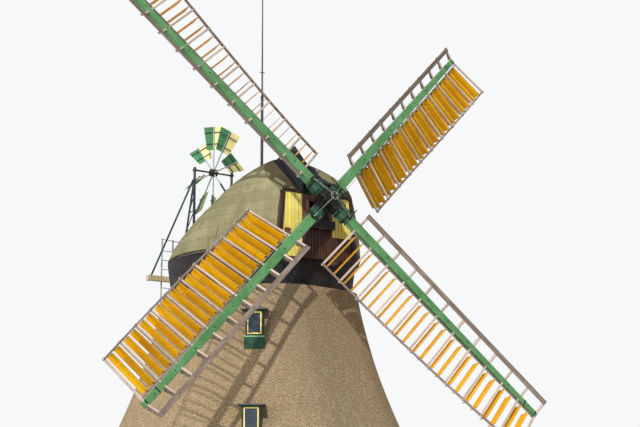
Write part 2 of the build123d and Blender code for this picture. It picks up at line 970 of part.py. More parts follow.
fan_turns = [360 / fan_blades * number for number in range(fan_blades)]
for part_name, shape in (
    ("fan_spokes", fan_spoke()),
    ("fan_vanes_green", vane_half(-1)),
    ("fan_vanes_yellow", vane_half(1)),
):
    with BuildPart() as ring:
        for turn in fan_turns:
            add(shape.rotate(Axis.X, turn))
    save(ring.part, part_name, cap_place * fan_centre)

# Wind shaft and poll end, in the sails' own frame: +Z is the shaft's axis, towards the front
shaft_length = (hub_reach + shaft_end) / cos(tilt)
journal_length = 2 * tie_width
with BuildPart() as wind_shaft:
    with BuildSketch(Plane.XY.offset(-poll_back)):
        Circle(shaft_radius)
    extrude(amount=-(shaft_length - poll_back - journal_length))
    with BuildSketch(Plane.XY.offset(-(shaft_length - journal_length))):
        Circle(tail_journal_radius)
    extrude(amount=-journal_length)
save(wind_shaft.part, "wind_shaft", sail_place)


def taper(reach, root, tip):
    """Size of a stock at a distance from the hub, between its sizes at root and tip."""
    share = max(0, (reach - stock_straight) / (stock_tip - stock_straight))
    return root + (tip - root) * share


with BuildPart() as stock:
    for side in (-1, 1):
        for reach in (0, stock_straight, stock_tip):
            with BuildSketch(Plane(origin=(side * reach, 0, 0), x_dir=(0, side, 0), z_dir=(side, 0, 0))):
                Rectangle(
                    taper(reach, stock_root_width, stock_tip_width),
                    taper(reach, stock_root_depth, stock_tip_depth),
                )
        loft(ruled=True)

# Each stock carries two opposite sails. A place is the stock's own frame within the sails' frame.
inner_place = Location((0, 0, 0), (0, 0, inner_turn))
outer_place = Location((0, 0, stock_spacing), (0, 0, outer_turn))
half_turn = Location((0, 0, 0), (0, 0, 180))
save(stock.part, "inner_stock", sail_place * inner_place)
save(stock.part, "outer_stock", sail_place * outer_place)


def stock_slot():
    """Slot that clears a stock's straight middle."""
    with BuildPart() as slot:
        Box(2 * stock_straight, stock_root_width + 2 * seat, stock_root_depth + 2 * seat)
    return slot.part


with BuildPart() as poll_end:
    with BuildSketch(Plane.XY.offset(-poll_back)):
        Circle(poll_radius)
    extrude(amount=poll_back + poll_front)
    for place in (inner_place, outer_place):
        with Locations(place):
            Box(
                2 * mortise_reach,
                stock_root_width + 2 * mortise_wall,
                stock_root_depth + 2 * mortise_wall,
            )
    for place in (inner_place, outer_place):
        add(stock_slot().moved(place), mode=Mode.SUBTRACT)
save(poll_end.part, "poll_end", sail_place)


# Clamps: on each arm two cheeks beside the stock, held by two bolted straps
def arm_clamps():
    half = stock_root_width / 2 + cheek_thickness
    with BuildPart() as clamps:
        with Locations((mortise_reach + seat, 0, 0)):
            Box(cheek_length, 2 * half, stock_root_depth, align=(Align.MIN, Align.CENTER, Align.CENTER))
        for share in strap_shares:
            with Locations((mortise_reach + cheek_length * share, 0, 0)):
                Box(
                    strap_width,
                    2 * (half + strap_thickness),
                    stock_root_depth + 2 * strap_thickness,
                )
                with Locations((0, -half, 0), (0, half, 0)):
                    Cylinder(strap_bolt_radius, stock_root_depth + 2 * strap_bolt_reach)
        add(stock_slot(), mode=Mode.SUBTRACT)
    return clamps.part


arm_places = [place * turn for place in (inner_place, outer_place) for turn in (Location(), half_turn)]
with BuildPart() as stock_clamps:
    for place in arm_places:
        add(arm_clamps().moved(place))
save(stock_clamps.part, "stock_clamps", sail_place)


# Sails. In one sail's frame +X runs out along the stock, -Y is the shutter side
def along(reach):
    """Share of the way from the innermost bar to the outermost."""
    run = bay * (outer_bars - 1)
    return min(1, max(0, (reach - outer_first_bar) / run))


def weather(reach):
    """Angle in degrees by which the bars lean back on the shutter side."""
    return root_weather + (tip_weather - root_weather) * along(reach) ** weather_power


def hem(reach):
    """Distance of the hem rail's middle from the stock's middle."""
    width = root_trailing_width + (tip_trailing_width - root_trailing_width) * along(reach)
    return width - bar_overhang


def inner_rail(reach):
    """Distance of the inner rail's middle from the stock's middle."""
    return taper(reach, stock_root_width, stock_tip_width) / 2 + inner_rail_gap


def bar_place(reach, lean):
    """Where a bar leaves the middle of the stock, just behind the stock's front, with its lean."""
    level = taper(reach, stock_root_depth, stock_tip_depth) / 2 - bar_setback - bar_depth / 2
    return Location((reach, 0, level), (lean, 0, 0))


def rail(places, lean, across, rise, width, depth):
    """A rail across the bars, turned with them. Lean and across are functions of the reach."""
    sections = []
    for reach in places:
        frame = bar_place(reach, lean(reach)) * Location((0, across(reach), rise), (0, 90, 0))
        with BuildSketch(Plane(frame)) as section:
            Rectangle(depth, width)
        sections.append(section.sketch)
    with BuildPart() as lofted:
        loft(sections, ruled=True)
    return lofted.part


def sail_lattice(first_bar, bars):
    """Bars, rails and leading board of one sail, fused where they cross."""
    places = [first_bar + bay * index for index in range(bars)]
    ends = [places[0] - bar_width / 2, *places[1:-1], places[-1] + bar_width / 2]
    board_rise = (bar_depth + leading_board_depth) / 2 - leading_board_bite
    board_across = leading_reach - leading_board_width / 2
    with BuildPart() as lattice:
        for reach in places:
            with Locations(bar_place(reach, weather(reach))):
                Box(
                    bar_width,
                    hem(reach) + bar_overhang,
                    bar_depth,
                    align=(Align.CENTER, Align.MAX, Align.CENTER),
                )
            with Locations(bar_place(reach, leading_lean)):
                Box(
                    bar_width,
                    leading_reach,
                    bar_depth,
                    align=(Align.CENTER, Align.MIN, Align.CENTER),
                )
        add(rail(ends, weather, lambda reach: -hem(reach), 0, hem_width, hem_depth))
        add(
            rail(
                ends,
                weather,
                lambda reach: -inner_rail(reach),
                0,
                inner_rail_width,
                inner_rail_depth,
            )
        )
        add(
            rail(
                ends,
                lambda reach: leading_lean,
                lambda reach: board_across,
                board_rise,
                leading_board_width,
                leading_board_depth,
            )
        )
        add(stock.part, mode=Mode.SUBTRACT)
    return lattice.part


def shutter_set(first_bar, bars):
    """Two open shutters in every bay, each a thin board on a rod between the rails."""
    with BuildPart() as boards:
        for index in range(bars - 1):
            for share in shutter_shares:
                reach = first_bar + bay * (index + share)
                start = inner_rail(reach) + inner_rail_width / 2 + seat
                length = hem(reach) - hem_width / 2 - shutter_play - start
                with Locations(bar_place(reach, weather(reach)) * Location((0, -start, 0))):
                    Box(
                        shutter_pin,
                        length,
                        shutter_pin,
                        align=(Align.CENTER, Align.MAX, Align.CENTER),
                    )
                    with Locations((0, -shutter_inset, shutter_front)):
                        Box(
                            shutter_thickness,
                            length - 2 * shutter_inset,
                            shutter_height,
                            align=(Align.CENTER, Align.MAX, Align.MAX),
                        )
    return boards.part


rod_rise = bar_depth / 2 + rod_play + rod_size / 2


def shutter_rod(first_bar, bars):
    """Thin rod from the crank, along the front of the bars and over the inner rail."""
    stops = [crank_reach, *(first_bar + bay * index for index in range(bars))]
    return rail(stops, weather, lambda reach: -inner_rail(reach), rod_rise, rod_size, rod_size)


for stock_place, first_bar, bars, sail_names in (
    (inner_place, inner_first_bar, inner_bars, ("upper_right", "lower_left")),
    (outer_place, outer_first_bar, outer_bars, ("upper_left", "lower_right")),
):
    lattice = sail_lattice(first_bar, bars)
    shutters = shutter_set(first_bar, bars)
    for sail_name, turn in zip(sail_names, (Location(), half_turn)):
        save(lattice, f"sail_{sail_name}", sail_place * stock_place * turn)
        save(shutters, f"shutters_{sail_name}", sail_place * stock_place * turn)

with BuildPart() as shutter_rods:
    for stock_place, first_bar, bars in (
        (inner_place, inner_first_bar, inner_bars),
        (outer_place, outer_first_bar, outer_bars),
    ):
        for turn in (Location(), half_turn):
            add(shutter_rod(first_bar, bars).moved(stock_place * turn))
save(shutter_rods.part, "shutter_rods", sail_place)


# Striking gear: a ring and four arms in front of the poll end, with a link to a crank on each stock
def crank_gear(stock_level):
    """Crank of one arm with its link. The level is that of the stock, from the inner stock's."""
    axle_level = stock_level + stock_root_depth / 2 + crank_rise
    hand = (crank_reach - crank_arm_reach, 0, axle_level + crank_arm_rise)
    lean = weather(crank_reach)
    rod_end = (
        Location((0, 0, stock_level))
        * bar_place(crank_reach, lean)
        * Location((0, -inner_rail(crank_reach), rod_rise + rod_size / 2 + seat))
    )
    climb = (axle_level - rod_end.position.Z) / cos(radians(lean))
    elbow = rod_end * Location((0, 0, climb))
    with BuildPart() as gear:
        with Locations((crank_reach, 0, stock_level + stock_root_depth / 2 + seat)):
            Box(*crank_lug, crank_rise + crank_axle_radius, align=above)
        with Locations((crank_reach, 0, axle_level)):
            Cylinder(crank_axle_radius, 2 * crank_axle_half, rotation=(90, 0, 0))
        add(strut((crank_reach, 0, axle_level), hand, gear_arm_size))
        add(strut(hand, (gear_ring_radius - gear_ring_width / 2, 0, gear_level), gear_arm_size))
        add(strut(rod_end.position, elbow.position, rod_size))
    return gear.part


with BuildPart() as striking_gear:
    with Locations((0, 0, gear_level)):
        Cylinder(gear_ring_radius, gear_ring_thickness)
        Cylinder(gear_ring_radius - gear_ring_width, gear_ring_thickness, mode=Mode.SUBTRACT)
        for turn in (inner_turn, outer_turn):
            with Locations(Location((0, 0, 0), (0, 0, turn))):
                Box(2 * gear_ring_radius - gear_ring_width, gear_arm_size, gear_ring_thickness)
    with Locations((0, 0, poll_front + seat)):
        Cylinder(gear_boss_radius, gear_level - poll_front + gear_ring_thickness, align=above)
    for turn, stock_level in ((inner_turn, 0), (outer_turn, stock_spacing)):
        for side in (0, 180):
            add(crank_gear(stock_level).rotate(Axis.Z, turn + side))
save(striking_gear.part, "striking_gear", sail_place)
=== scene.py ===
"""Looks of a thatched octagonal smock mill with a boat-shaped cap, shutter sails and a fantail."""

from __future__ import annotations

import json
import logging
import math
import random
from dataclasses import dataclass, replace
from enum import Enum
from typing import Any, Callable, Mapping, Sequence

import bpy
from mathutils import Matrix, Vector, noise

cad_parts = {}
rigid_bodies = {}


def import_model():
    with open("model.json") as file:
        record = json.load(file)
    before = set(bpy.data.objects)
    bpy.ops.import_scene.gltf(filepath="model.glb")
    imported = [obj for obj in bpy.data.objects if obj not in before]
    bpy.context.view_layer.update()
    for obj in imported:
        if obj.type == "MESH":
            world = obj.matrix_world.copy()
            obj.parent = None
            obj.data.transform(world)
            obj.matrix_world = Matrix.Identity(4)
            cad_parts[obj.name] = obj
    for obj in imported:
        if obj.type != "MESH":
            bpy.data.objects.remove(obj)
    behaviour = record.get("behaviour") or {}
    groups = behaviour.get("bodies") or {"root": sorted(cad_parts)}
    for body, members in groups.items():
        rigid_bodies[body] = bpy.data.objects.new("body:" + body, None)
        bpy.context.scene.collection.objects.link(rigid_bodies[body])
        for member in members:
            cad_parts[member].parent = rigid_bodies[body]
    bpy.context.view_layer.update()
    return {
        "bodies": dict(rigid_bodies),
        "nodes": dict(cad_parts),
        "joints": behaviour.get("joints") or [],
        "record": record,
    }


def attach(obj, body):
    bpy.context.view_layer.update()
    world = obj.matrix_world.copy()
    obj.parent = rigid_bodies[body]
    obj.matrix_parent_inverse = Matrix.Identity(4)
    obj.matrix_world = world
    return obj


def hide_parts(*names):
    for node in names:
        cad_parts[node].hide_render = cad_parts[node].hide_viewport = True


log = logging.getLogger("mill")
Colour = tuple[float, float, float]
Signs = tuple[int, int, int]
Side = tuple[int, int, list[Signs]]
Edge = tuple[tuple[Signs, int], tuple[Signs, int]]


class Layout(Enum):
    """Where a finish takes its coordinates from."""

    LAID = "the mesh's own grain coordinates"
    WHOLE = "the whole object"


@dataclass(frozen=True)
class Signal:
    """One output of a shader node, with arithmetic that adds the nodes it needs."""

    tree: bpy.types.NodeTree
    socket: bpy.types.NodeSocket

    def make(
        self, kind: str, inputs: Mapping[str | int, object], output: str | int = 0, **settings: object
    ) -> "Signal":
        """Adds a node to the same tree.

        Args:
            kind: The node's type name, such as ShaderNodeTexNoise.
            inputs: Values or signals by input name or number.
            output: Which output to return.
            settings: Properties set on the node first.

        Returns:
            The chosen output.
        """
        return add_node(self.tree, kind, inputs, output, **settings)

    def _join(self, operation: str, other: object, swapped: bool = False) -> "Signal":
        """Adds the node of one operation, of the kind that the two sides need.

        Args:
            operation: Its name, as the Math node has it.
            other: The value or signal on the other side.
            swapped: Whether the other comes first.

        Returns:
            The result.
        """
        first, second = (other, self) if swapped else (self, other)
        kinds = {side.socket.type for side in (first, second) if isinstance(side, Signal)}
        if "RGBA" in kinds:
            inputs = {0: 1.0, 6: _as_colour(first), 7: _as_colour(second)}
            return self.make("ShaderNodeMix", inputs, 2, data_type="RGBA", blend_type=operation)
        if "VECTOR" in kinds:
            inputs = {0: _as_vector(first), 1: _as_vector(second)}
            return self.make("ShaderNodeVectorMath", inputs, 0, operation=operation)
        return self.make("ShaderNodeMath", {0: first, 1: second}, 0, operation=operation)

    def __add__(self, other: object) -> "Signal":
        """This plus the other."""
        return self._join("ADD", other)

    def __radd__(self, other: object) -> "Signal":
        """The other plus this."""
        return self._join("ADD", other, True)

    def __sub__(self, other: object) -> "Signal":
        """This less the other."""
        return self._join("SUBTRACT", other)

    def __rsub__(self, other: object) -> "Signal":
        """The other less this."""
        return self._join("SUBTRACT", other, True)

    def __mul__(self, other: object) -> "Signal":
        """This times the other."""
        return self._join("MULTIPLY", other)

    def __rmul__(self, other: object) -> "Signal":
        """The other times this."""
        return self._join("MULTIPLY", other, True)

    def __truediv__(self, other: object) -> "Signal":
        """This over the other."""
        return self._join("DIVIDE", other)

    def __rtruediv__(self, other: object) -> "Signal":
        """The other over this."""
        return self._join("DIVIDE", other, True)

    def __pow__(self, other: object) -> "Signal":
        """This to the power of the other."""
        return self._join("POWER", other)

    def __gt__(self, other: object) -> "Signal":
        """1 where this is greater, else 0."""
        return self._join("GREATER_THAN", other)

    def __lt__(self, other: object) -> "Signal":
        """1 where this is less, else 0."""
        return self._join("LESS_THAN", other)

    def ramp(self, low: float, high: float, start: float = 0.0, end: float = 1.0) -> "Signal":
        """Maps low to start and high to end, held at both ends."""
        inputs = {"Value": self, "From Min": low, "From Max": high, "To Min": start, "To Max": end}
        return self.make("ShaderNodeMapRange", inputs, "Result", clamp=True)

    def mix(self, first: object, second: object) -> "Signal":
        """Blends two colours by this signal: first at 0, second at 1."""
        inputs = {0: self, 6: _as_colour(first), 7: _as_colour(second)}
        return self.make("ShaderNodeMix", inputs, 2, data_type="RGBA")

    def stretched(self, scale: Sequence[float]) -> "Signal":
        """Scales this vector along its three axes."""
        return self._join("MULTIPLY", tuple(scale))

    def noise(self, scale: float, detail: float = 3.0, roughness: float = 0.55) -> "Signal":
        """Fractal noise at this vector, from 0 to 1."""
        inputs = {"Vector": self, "Scale": scale, "Detail": detail, "Roughness": roughness}
        return self.make("ShaderNodeTexNoise", inputs, "Fac")

    def part(self, axis: str) -> "Signal":
        """One coordinate of this vector, by its letter."""
        return self.make("ShaderNodeSeparateXYZ", {0: self}, "XYZ".index(axis))


def _as_colour(value: object) -> object:
    """Makes a plain value fit a colour socket.

    Args:
        value: A number, a colour or a signal.

    Returns:
        Four channels, or the signal as it is.
    """
    if isinstance(value, (int, float)):
        return (value, value, value, 1.0)
    if isinstance(value, tuple) and len(value) == 3:
        return (*value, 1.0)
    return value


def _as_vector(value: object) -> object:
    """A plain number as three, anything else as it is."""
    return (value, value, value) if isinstance(value, (int, float)) else value


def add_node(
    tree: bpy.types.NodeTree,
    kind: str,
    inputs: Mapping[str | int, object],
    output: str | int = 0,
    **settings: object,
) -> Signal:
    """Adds one node to a tree, sets it up and links it.

    Args:
        tree: The node tree.
        kind: The node's type name.
        inputs: Values or signals by input name or number.
        output: Which output to return.
        settings: Properties set on the node before its inputs.

    Returns:
        The chosen output as a signal.
    """
    node = tree.nodes.new(kind)
    for name, value in settings.items():
        setattr(node, name, value)
    for key, value in inputs.items():
        if isinstance(value, Signal):
            tree.links.new(value.socket, node.inputs[key])
        else:
            node.inputs[key].default_value = value
    return Signal(tree, node.outputs[output])


@dataclass(frozen=True)
class Surface:
    """What a finish hands to the shader: its varying inputs and its bump."""

    colour: object
    roughness: object = 0.7
    height: object = None
    bump_depth: float = 0.002
    metallic: object = 0.0


@dataclass(frozen=True)
class Finish:
    """A named finish. Each kind of finish says in surface() how it looks."""

    name: str
    colour: Colour
    layout: Layout = Layout.LAID
    sheen: float = 0.22

    def surface(self, place: Signal) -> Surface:
        """Varying inputs of the finish at a place in metres."""
        raise NotImplementedError

    def place(self, tree: bpy.types.NodeTree) -> Signal:
        """Coordinates in metres: along and across a laid piece, or those of the whole object.

        Args:
            tree: The material's node tree.

        Returns:
            The coordinates.
        """
        if self.layout is Layout.LAID:
            return add_node(tree, "ShaderNodeUVMap", {}, 0, uv_map="grain")
        return add_node(tree, "ShaderNodeTexCoord", {}, "Object")

    @staticmethod
    def mark(place: Signal, name: str) -> Signal:
        """A value that the mesh carries on each face, such as its tone or its worn edge."""
        return place.make("ShaderNodeAttribute", {}, "Fac", attribute_name=name)

    @staticmethod
    def whole(place: Signal) -> Signal:
        """Coordinates of the whole object, for weather that crosses many small pieces."""
        return place.make("ShaderNodeTexCoord", {}, "Object")

    def material(self) -> bpy.types.Material:
        """Builds the finish as a material, once.

        Returns:
            The material, the same one each time.
        """
        found = bpy.data.materials.get(self.name)
        if found:
            return found
        made = bpy.data.materials.new(self.name)
        made.use_nodes = True
        tree = made.node_tree
        shader = tree.nodes["Principled BSDF"]
        looks = self.surface(self.place(tree))
        for key, value in (
            ("Base Color", _as_colour(looks.colour)),
            ("Roughness", looks.roughness),
            ("Metallic", looks.metallic),
        ):
            if isinstance(value, Signal):
                tree.links.new(value.socket, shader.inputs[key])
            else:
                shader.inputs[key].default_value = value
        if looks.height is not None:
            depth = {"Height": looks.height, "Distance": looks.bump_depth, "Strength": 1.0}
            bump = add_node(tree, "ShaderNodeBump", depth, "Normal")
            tree.links.new(bump.socket, shader.inputs["Normal"])
        self.tune(shader)
        return made

    def tune(self, shader: bpy.types.ShaderNode) -> None:
        """Sets the constants on the shader's own sockets."""
        shader.inputs["Specular IOR Level"].default_value = self.sheen


def shade(colour: Colour, factor: float) -> Colour:
    """A colour made lighter or darker."""
    red, green, blue = (min(1.0, channel * factor) for channel in colour)
    return red, green, blue


@dataclass(frozen=True)
class Timber(Finish):
    """Bare weathered timber: long grain, dark cracks, worn pale edges."""

    grey: Colour = (0.42, 0.38, 0.35)
    rough: float = 0.8

    def surface(self, place: Signal) -> Surface:
        """Grain along the piece, with its tone and the weather over it.

        Args:
            place: The place on the piece, in metres.

        Returns:
            Its looks there.
        """
        fibre = place.stretched((3.0, 60.0, 60.0)).noise(1.0, 5.0, 0.65)
        wave = place.stretched((0.9, 9.0, 9.0)).noise(1.0, 4.0, 0.6)
        crack = place.stretched((4.0, 110.0, 110.0)).noise(1.0, 2.0).ramp(0.63, 0.7)
        tone = self.mark(place, "tone").ramp(0.0, 1.0, 0.78, 1.16)
        wood = fibre.ramp(0.3, 0.7).mix(shade(self.colour, 0.7), shade(self.colour, 1.18))
        weathered = wave.ramp(0.38, 0.66).mix(wood, self.grey) * tone
        edge = self.mark(place, "edge") * fibre.ramp(0.3, 0.6)
        colour = crack.mix(edge.mix(weathered, shade(self.grey, 1.25)), shade(self.colour, 0.32))
        return Surface(colour, wave.ramp(0.2, 0.8, self.rough - 0.08, 0.95), fibre - crack * 0.8, 0.0022)


@dataclass(frozen=True)
class Paint(Finish):
    """Oil paint on boards: brush and grain show through, edges and weak spots are worn to the wood."""

    wood: Colour = (0.30, 0.24, 0.19)
    wear: float = 0.5
    rough: float = 0.5
    faded: Colour | None = None
    stain: float = 0.35
    relief: float = 0.0010

    def surface(self, place: Signal) -> Surface:
        """Paint with fading, dirt runs and wear.

        Args:
            place: The place on the piece, in metres.

        Returns:
            Its looks there.
        """
        fibre = place.stretched((2.6, 75.0, 75.0)).noise(1.0, 4.0, 0.6)
        blotch = self.whole(place).noise(1.3, 5.0, 0.6)
        speck = place.noise(38.0, 4.0, 0.7)
        tone = self.mark(place, "tone").ramp(0.0, 1.0, 0.86, 1.1)
        pale = self.faded or shade(self.colour, 1.25)
        coat = blotch.ramp(0.36, 0.66).mix(shade(self.colour, 0.86), pale) * tone
        runs = self.whole(place).stretched((9.0, 9.0, 0.8)).noise(1.0, 3.0).ramp(0.55, 0.75, 0.0, self.stain)
        dirty = runs.mix(coat, shade(self.colour, 0.42))
        weak = self.mark(place, "edge") * 0.14 + fibre * 0.5 + speck * 0.5
        limit = 0.72 - 0.12 * self.wear
        worn = weak.ramp(limit, limit + 0.035)
        colour = worn.mix(dirty, self.wood)
        roughness = worn.ramp(0.0, 1.0, self.rough, 0.88) + runs * 0.2
        return Surface(colour, roughness, fibre * 0.6 - worn * 0.7, self.relief)


@dataclass(frozen=True)
class Brick(Finish):
    """Fired bricks, each with its own tone, with dark burnt ones, lime bloom and a damp foot."""

    burnt: Colour = (0.10, 0.045, 0.04)
    pale: Colour = (0.46, 0.19, 0.10)

    def surface(self, place: Signal) -> Surface:
        """Tone by brick, grit and bloom over it.

        Args:
            place: The place on the brick, in metres.

        Returns:
            Its looks there.
        """
        tone = self.mark(place, "tone")
        grit = place.noise(160.0, 4.0, 0.7)
        cloud = place.noise(14.0, 4.0)
        fired = tone.ramp(0.1, 0.6).mix(shade(self.colour, 0.62), self.colour)
        fired = tone.ramp(0.6, 0.95).mix(fired, self.pale)
        fired = tone.ramp(0.05, 0.02).mix(fired, self.burnt)
        fired = fired * cloud.ramp(0.2, 0.8, 0.8, 1.15)
        wall = self.whole(place)
        bloom = wall.noise(0.8, 5.0, 0.6).ramp(0.56, 0.74, 0.0, 0.32) * grit.ramp(0.35, 0.6)
        damp = wall.part("Z").ramp(0.0, 0.7, 0.45, 0.0) * wall.noise(2.0, 3.0).ramp(0.3, 0.7)
        colour = damp.mix(bloom.mix(fired, (0.62, 0.56, 0.50)), (0.07, 0.075, 0.045))
        return Surface(colour, 0.88, grit * 0.6 + cloud * 0.4, 0.0022)


@dataclass(frozen=True)
class Mortar(Finish):
    """Lime mortar behind the bricks, sandy and grey."""

    def surface(self, place: Signal) -> Surface:
        """Sand grain with dirty patches.

        Args:
            place: The place on the wall, in metres.

        Returns:
            Its looks there.
        """
        sand = place.noise(240.0, 3.0, 0.8)
        patch = place.noise(2.4, 4.0)
        colour = patch.ramp(0.3, 0.7).mix(shade(self.colour, 0.62), self.colour)
        return Surface(colour * sand.ramp(0.2, 0.8, 0.75, 1.15), 0.95, sand, 0.002)


@dataclass(frozen=True)
class Thatch(Finish):
    """Combed reed: fine straws and cut ends, with weathered and mossy patches."""

    pale: Colour = (0.50, 0.41, 0.26)
    moss: Colour = (0.12, 0.13, 0.05)

    def surface(self, place: Signal) -> Surface:
        """Straws, cut ends, tufts and patches. The second coordinate runs up the slope.

        Args:
            place: The place on the slope, in metres.

        Returns:
            Its looks there.
        """
        straw = place.stretched((95.0, 8.0, 1.0)).noise(1.0, 4.0, 0.7)
        ends = place.stretched((38.0, 18.0, 1.0)).noise(1.0, 3.0, 0.6)
        tuft = place.stretched((6.0, 2.6, 1.0)).noise(1.0, 4.0, 0.6)
        wall = self.whole(place)
        patch = wall.noise(0.55, 5.0, 0.6)
        runs = wall.stretched((2.2, 2.2, 0.25)).noise(1.0, 4.0)
        reed = straw.ramp(0.3, 0.68).mix(shade(self.colour, 0.62), shade(self.colour, 1.1))
        reed = (tuft.ramp(0.42, 0.66) * patch.ramp(0.35, 0.7, 0.1, 0.5)).mix(reed, self.pale)
        reed = runs.ramp(0.5, 0.68, 0.0, 0.28).mix(reed, shade(self.colour, 0.55))
        green = wall.noise(0.9, 6.0, 0.65).ramp(0.6, 0.74, 0.0, 0.4) * tuft.ramp(0.35, 0.6)
        reed = green.mix(reed, self.moss)
        reed = ends.ramp(0.53, 0.63, 0.0, 0.85).mix(reed, self.pale)
        colour = ends.ramp(0.47, 0.38, 0.0, 0.85).mix(reed, shade(self.colour, 0.3))
        return Surface(colour, 0.95, straw * 0.3 + ends * 0.9 + tuft * 0.9, 0.026)


@dataclass(frozen=True)
class Felt(Finish):
    """Mineral roofing felt: gritty, with damp runs, lichen and its own tone in each strip."""

    lichen: Colour = (0.34, 0.36, 0.22)

    def surface(self, place: Signal) -> Surface:
        """Grit with runs down the slope and spots of lichen.

        Args:
            place: The place on the felt, in metres.

        Returns:
            Its looks there.
        """
        grit = place.noise(320.0, 2.0, 0.8)
        ripple = place.stretched((1.6, 5.0, 1.0)).noise(1.0, 4.0)
        tone = self.mark(place, "tone").ramp(0.0, 1.0, 0.86, 1.12)
        wall = self.whole(place)
        cloud = wall.noise(0.8, 5.0, 0.6)
        runs = wall.stretched((4.5, 4.5, 0.5)).noise(1.0, 4.0).ramp(0.5, 0.75, 0.0, 0.5)
        spots = (wall.noise(9.0, 6.0, 0.7).ramp(0.6, 0.68) * cloud.ramp(0.4, 0.6)) * 0.55
        base = cloud.ramp(0.35, 0.68).mix(shade(self.colour, 0.78), shade(self.colour, 1.2)) * tone
        base = base * grit.ramp(0.2, 0.8, 0.82, 1.15)
        colour = spots.mix(runs.mix(base, shade(self.colour, 0.5)), self.lichen)
        return Surface(colour, 0.9, grit * 0.25 + ripple, 0.006)


@dataclass(frozen=True)
class Iron(Finish):
    """Blackened iron with grease and rust where it lies bare."""

    rust: Colour = (0.16, 0.06, 0.03)

    def surface(self, place: Signal) -> Surface:
        """Cast grain, dull paint and rust spots.

        Args:
            place: The place on the piece, in metres.

        Returns:
            Its looks there.
        """
        grain = place.noise(120.0, 3.0, 0.7)
        cloud = place.noise(5.0, 5.0, 0.65)
        rusty = (cloud * 0.7 + grain * 0.3 + self.mark(place, "edge") * 0.06).ramp(0.56, 0.66)
        black = cloud.ramp(0.3, 0.7).mix(shade(self.colour, 0.7), shade(self.colour, 1.5))
        dull, metal = rusty.ramp(0.0, 1.0, 0.42, 0.85), rusty.ramp(0.0, 1.0, 0.55, 0.1)
        return Surface(rusty.mix(black, self.rust), dull, grain, 0.0012, metal)


@dataclass(frozen=True)
class Glass(Finish):
    """Old window glass, opaque, its dark colour painted shade of the unlit room behind: uneven, with dust in
    its corners.
    """

    def surface(self, place: Signal) -> Surface:
        """Slow waves in the glass and a film of dust.

        Args:
            place: The place on the pane, in metres.

        Returns:
            Its looks there.
        """
        wave = place.noise(5.0, 2.0)
        dust = place.noise(30.0, 5.0, 0.7).ramp(0.5, 0.8, 0.0, 0.25)
        colour = dust.mix(wave.ramp(0.3, 0.7).mix(self.colour, shade(self.colour, 1.8)), (0.2, 0.21, 0.2))
        return Surface(colour, dust.ramp(0.0, 0.25, 0.05, 0.4), wave, 0.01)

    def tune(self, shader: bpy.types.ShaderNode) -> None:
        """Glass-like sheen at glancing angles.

        Args:
            shader: The shader node.
        """
        super().tune(shader)
        shader.inputs["IOR"].default_value = 1.52
        shader.inputs["Coat Weight"].default_value = 0.5


BRICK = Brick("brick_red", (0.33, 0.12, 0.075))
MORTAR = Mortar("lime_mortar", (0.47, 0.44, 0.38), Layout.WHOLE)
THATCH = Thatch("reed_thatch", (0.31, 0.222, 0.128))
FRAME_TIMBER = Timber("frame_timber", (0.26, 0.17, 0.10), Layout.WHOLE, grey=(0.30, 0.25, 0.20))
CASING_GREEN = Paint("casing_green", (0.012, 0.03, 0.022), wear=0.3)
APRON_GREEN = Paint("apron_green", (0.009, 0.045, 0.026), faded=(0.015, 0.065, 0.037))
SILL_GREEN = Paint("sill_green", (0.16, 0.34, 0.17))
STOCK_GREEN = Paint("stock_green", (0.078, 0.225, 0.078), faded=(0.115, 0.285, 0.12), wear=0.35)
HUB_GREEN = Paint("hub_green", (0.018, 0.085, 0.05), faded=(0.03, 0.12, 0.07), wear=0.5)
SASH_CREAM = Paint("sash_cream", (0.74, 0.62, 0.22), wear=0.4)
DOOR_WHITE = Paint("door_white", (0.76, 0.75, 0.70), wear=0.6)
# painted shade: the pane is opaque and near-black, standing for the dark room behind it
PANE = Glass("window_glass", (0.018, 0.028, 0.042), Layout.WHOLE)
DRIP_GREY = Paint("drip_board", (0.045, 0.06, 0.055), faded=(0.08, 0.10, 0.09))
ROOF_FELT = Felt("mineral_felt", (0.228, 0.212, 0.118), lichen=(0.31, 0.30, 0.18))
HOOD_FELT = Felt("hood_felt", (0.03, 0.034, 0.045), lichen=(0.09, 0.1, 0.09))
TAR = Paint("tarred_boards", (0.012, 0.012, 0.014), faded=(0.030, 0.029, 0.030), wear=0.35, rough=0.75)
GABLE_YELLOW = Paint("gable_yellow", (0.92, 0.76, 0.15), faded=(0.95, 0.83, 0.24), wear=0.25, stain=0.25)
PLUM_BROWN = Paint("plum_brown", (0.15, 0.065, 0.055), wear=0.45)
# painted shade: the near-black middle panels under the weather beam stand for the dark opening below the
# poll end; the low boards on the right share this dark brown as paint
DARK_BROWN_AND_SHADE = Paint("deep_brown_and_painted_shade", (0.042, 0.019, 0.017), faded=(0.075, 0.034, 0.028))
TRIM_BROWN = Paint("trim_brown", (0.035, 0.017, 0.013), wear=0.3)
IRON = Iron("black_iron", (0.016, 0.018, 0.02))
RUSTY_IRON = Iron("rusty_iron", (0.04, 0.03, 0.024), rust=(0.20, 0.075, 0.03))
BEAM_PALE = Paint("beam_pale", (0.52, 0.42, 0.25), wood=(0.22, 0.13, 0.08), wear=0.7)
DARK_BEAM = Paint("dark_beam", (0.022, 0.019, 0.024), faded=(0.05, 0.042, 0.045))
SEAM_FELT = Felt("felt_seams", (0.055, 0.052, 0.03), lichen=(0.12, 0.12, 0.06))
PALE_IRON = Paint("pale_iron", (0.22, 0.23, 0.20), wood=(0.10, 0.06, 0.04), wear=0.7)
POLE = Paint("pole_grey", (0.018, 0.02, 0.026), faded=(0.05, 0.052, 0.06))
TAIL_GREEN = Paint("tail_green", (0.028, 0.045, 0.05), faded=(0.055, 0.08, 0.08), wear=0.5)
TAIL_GREY = Paint("tail_grey", (0.30, 0.33, 0.33), wear=0.5)
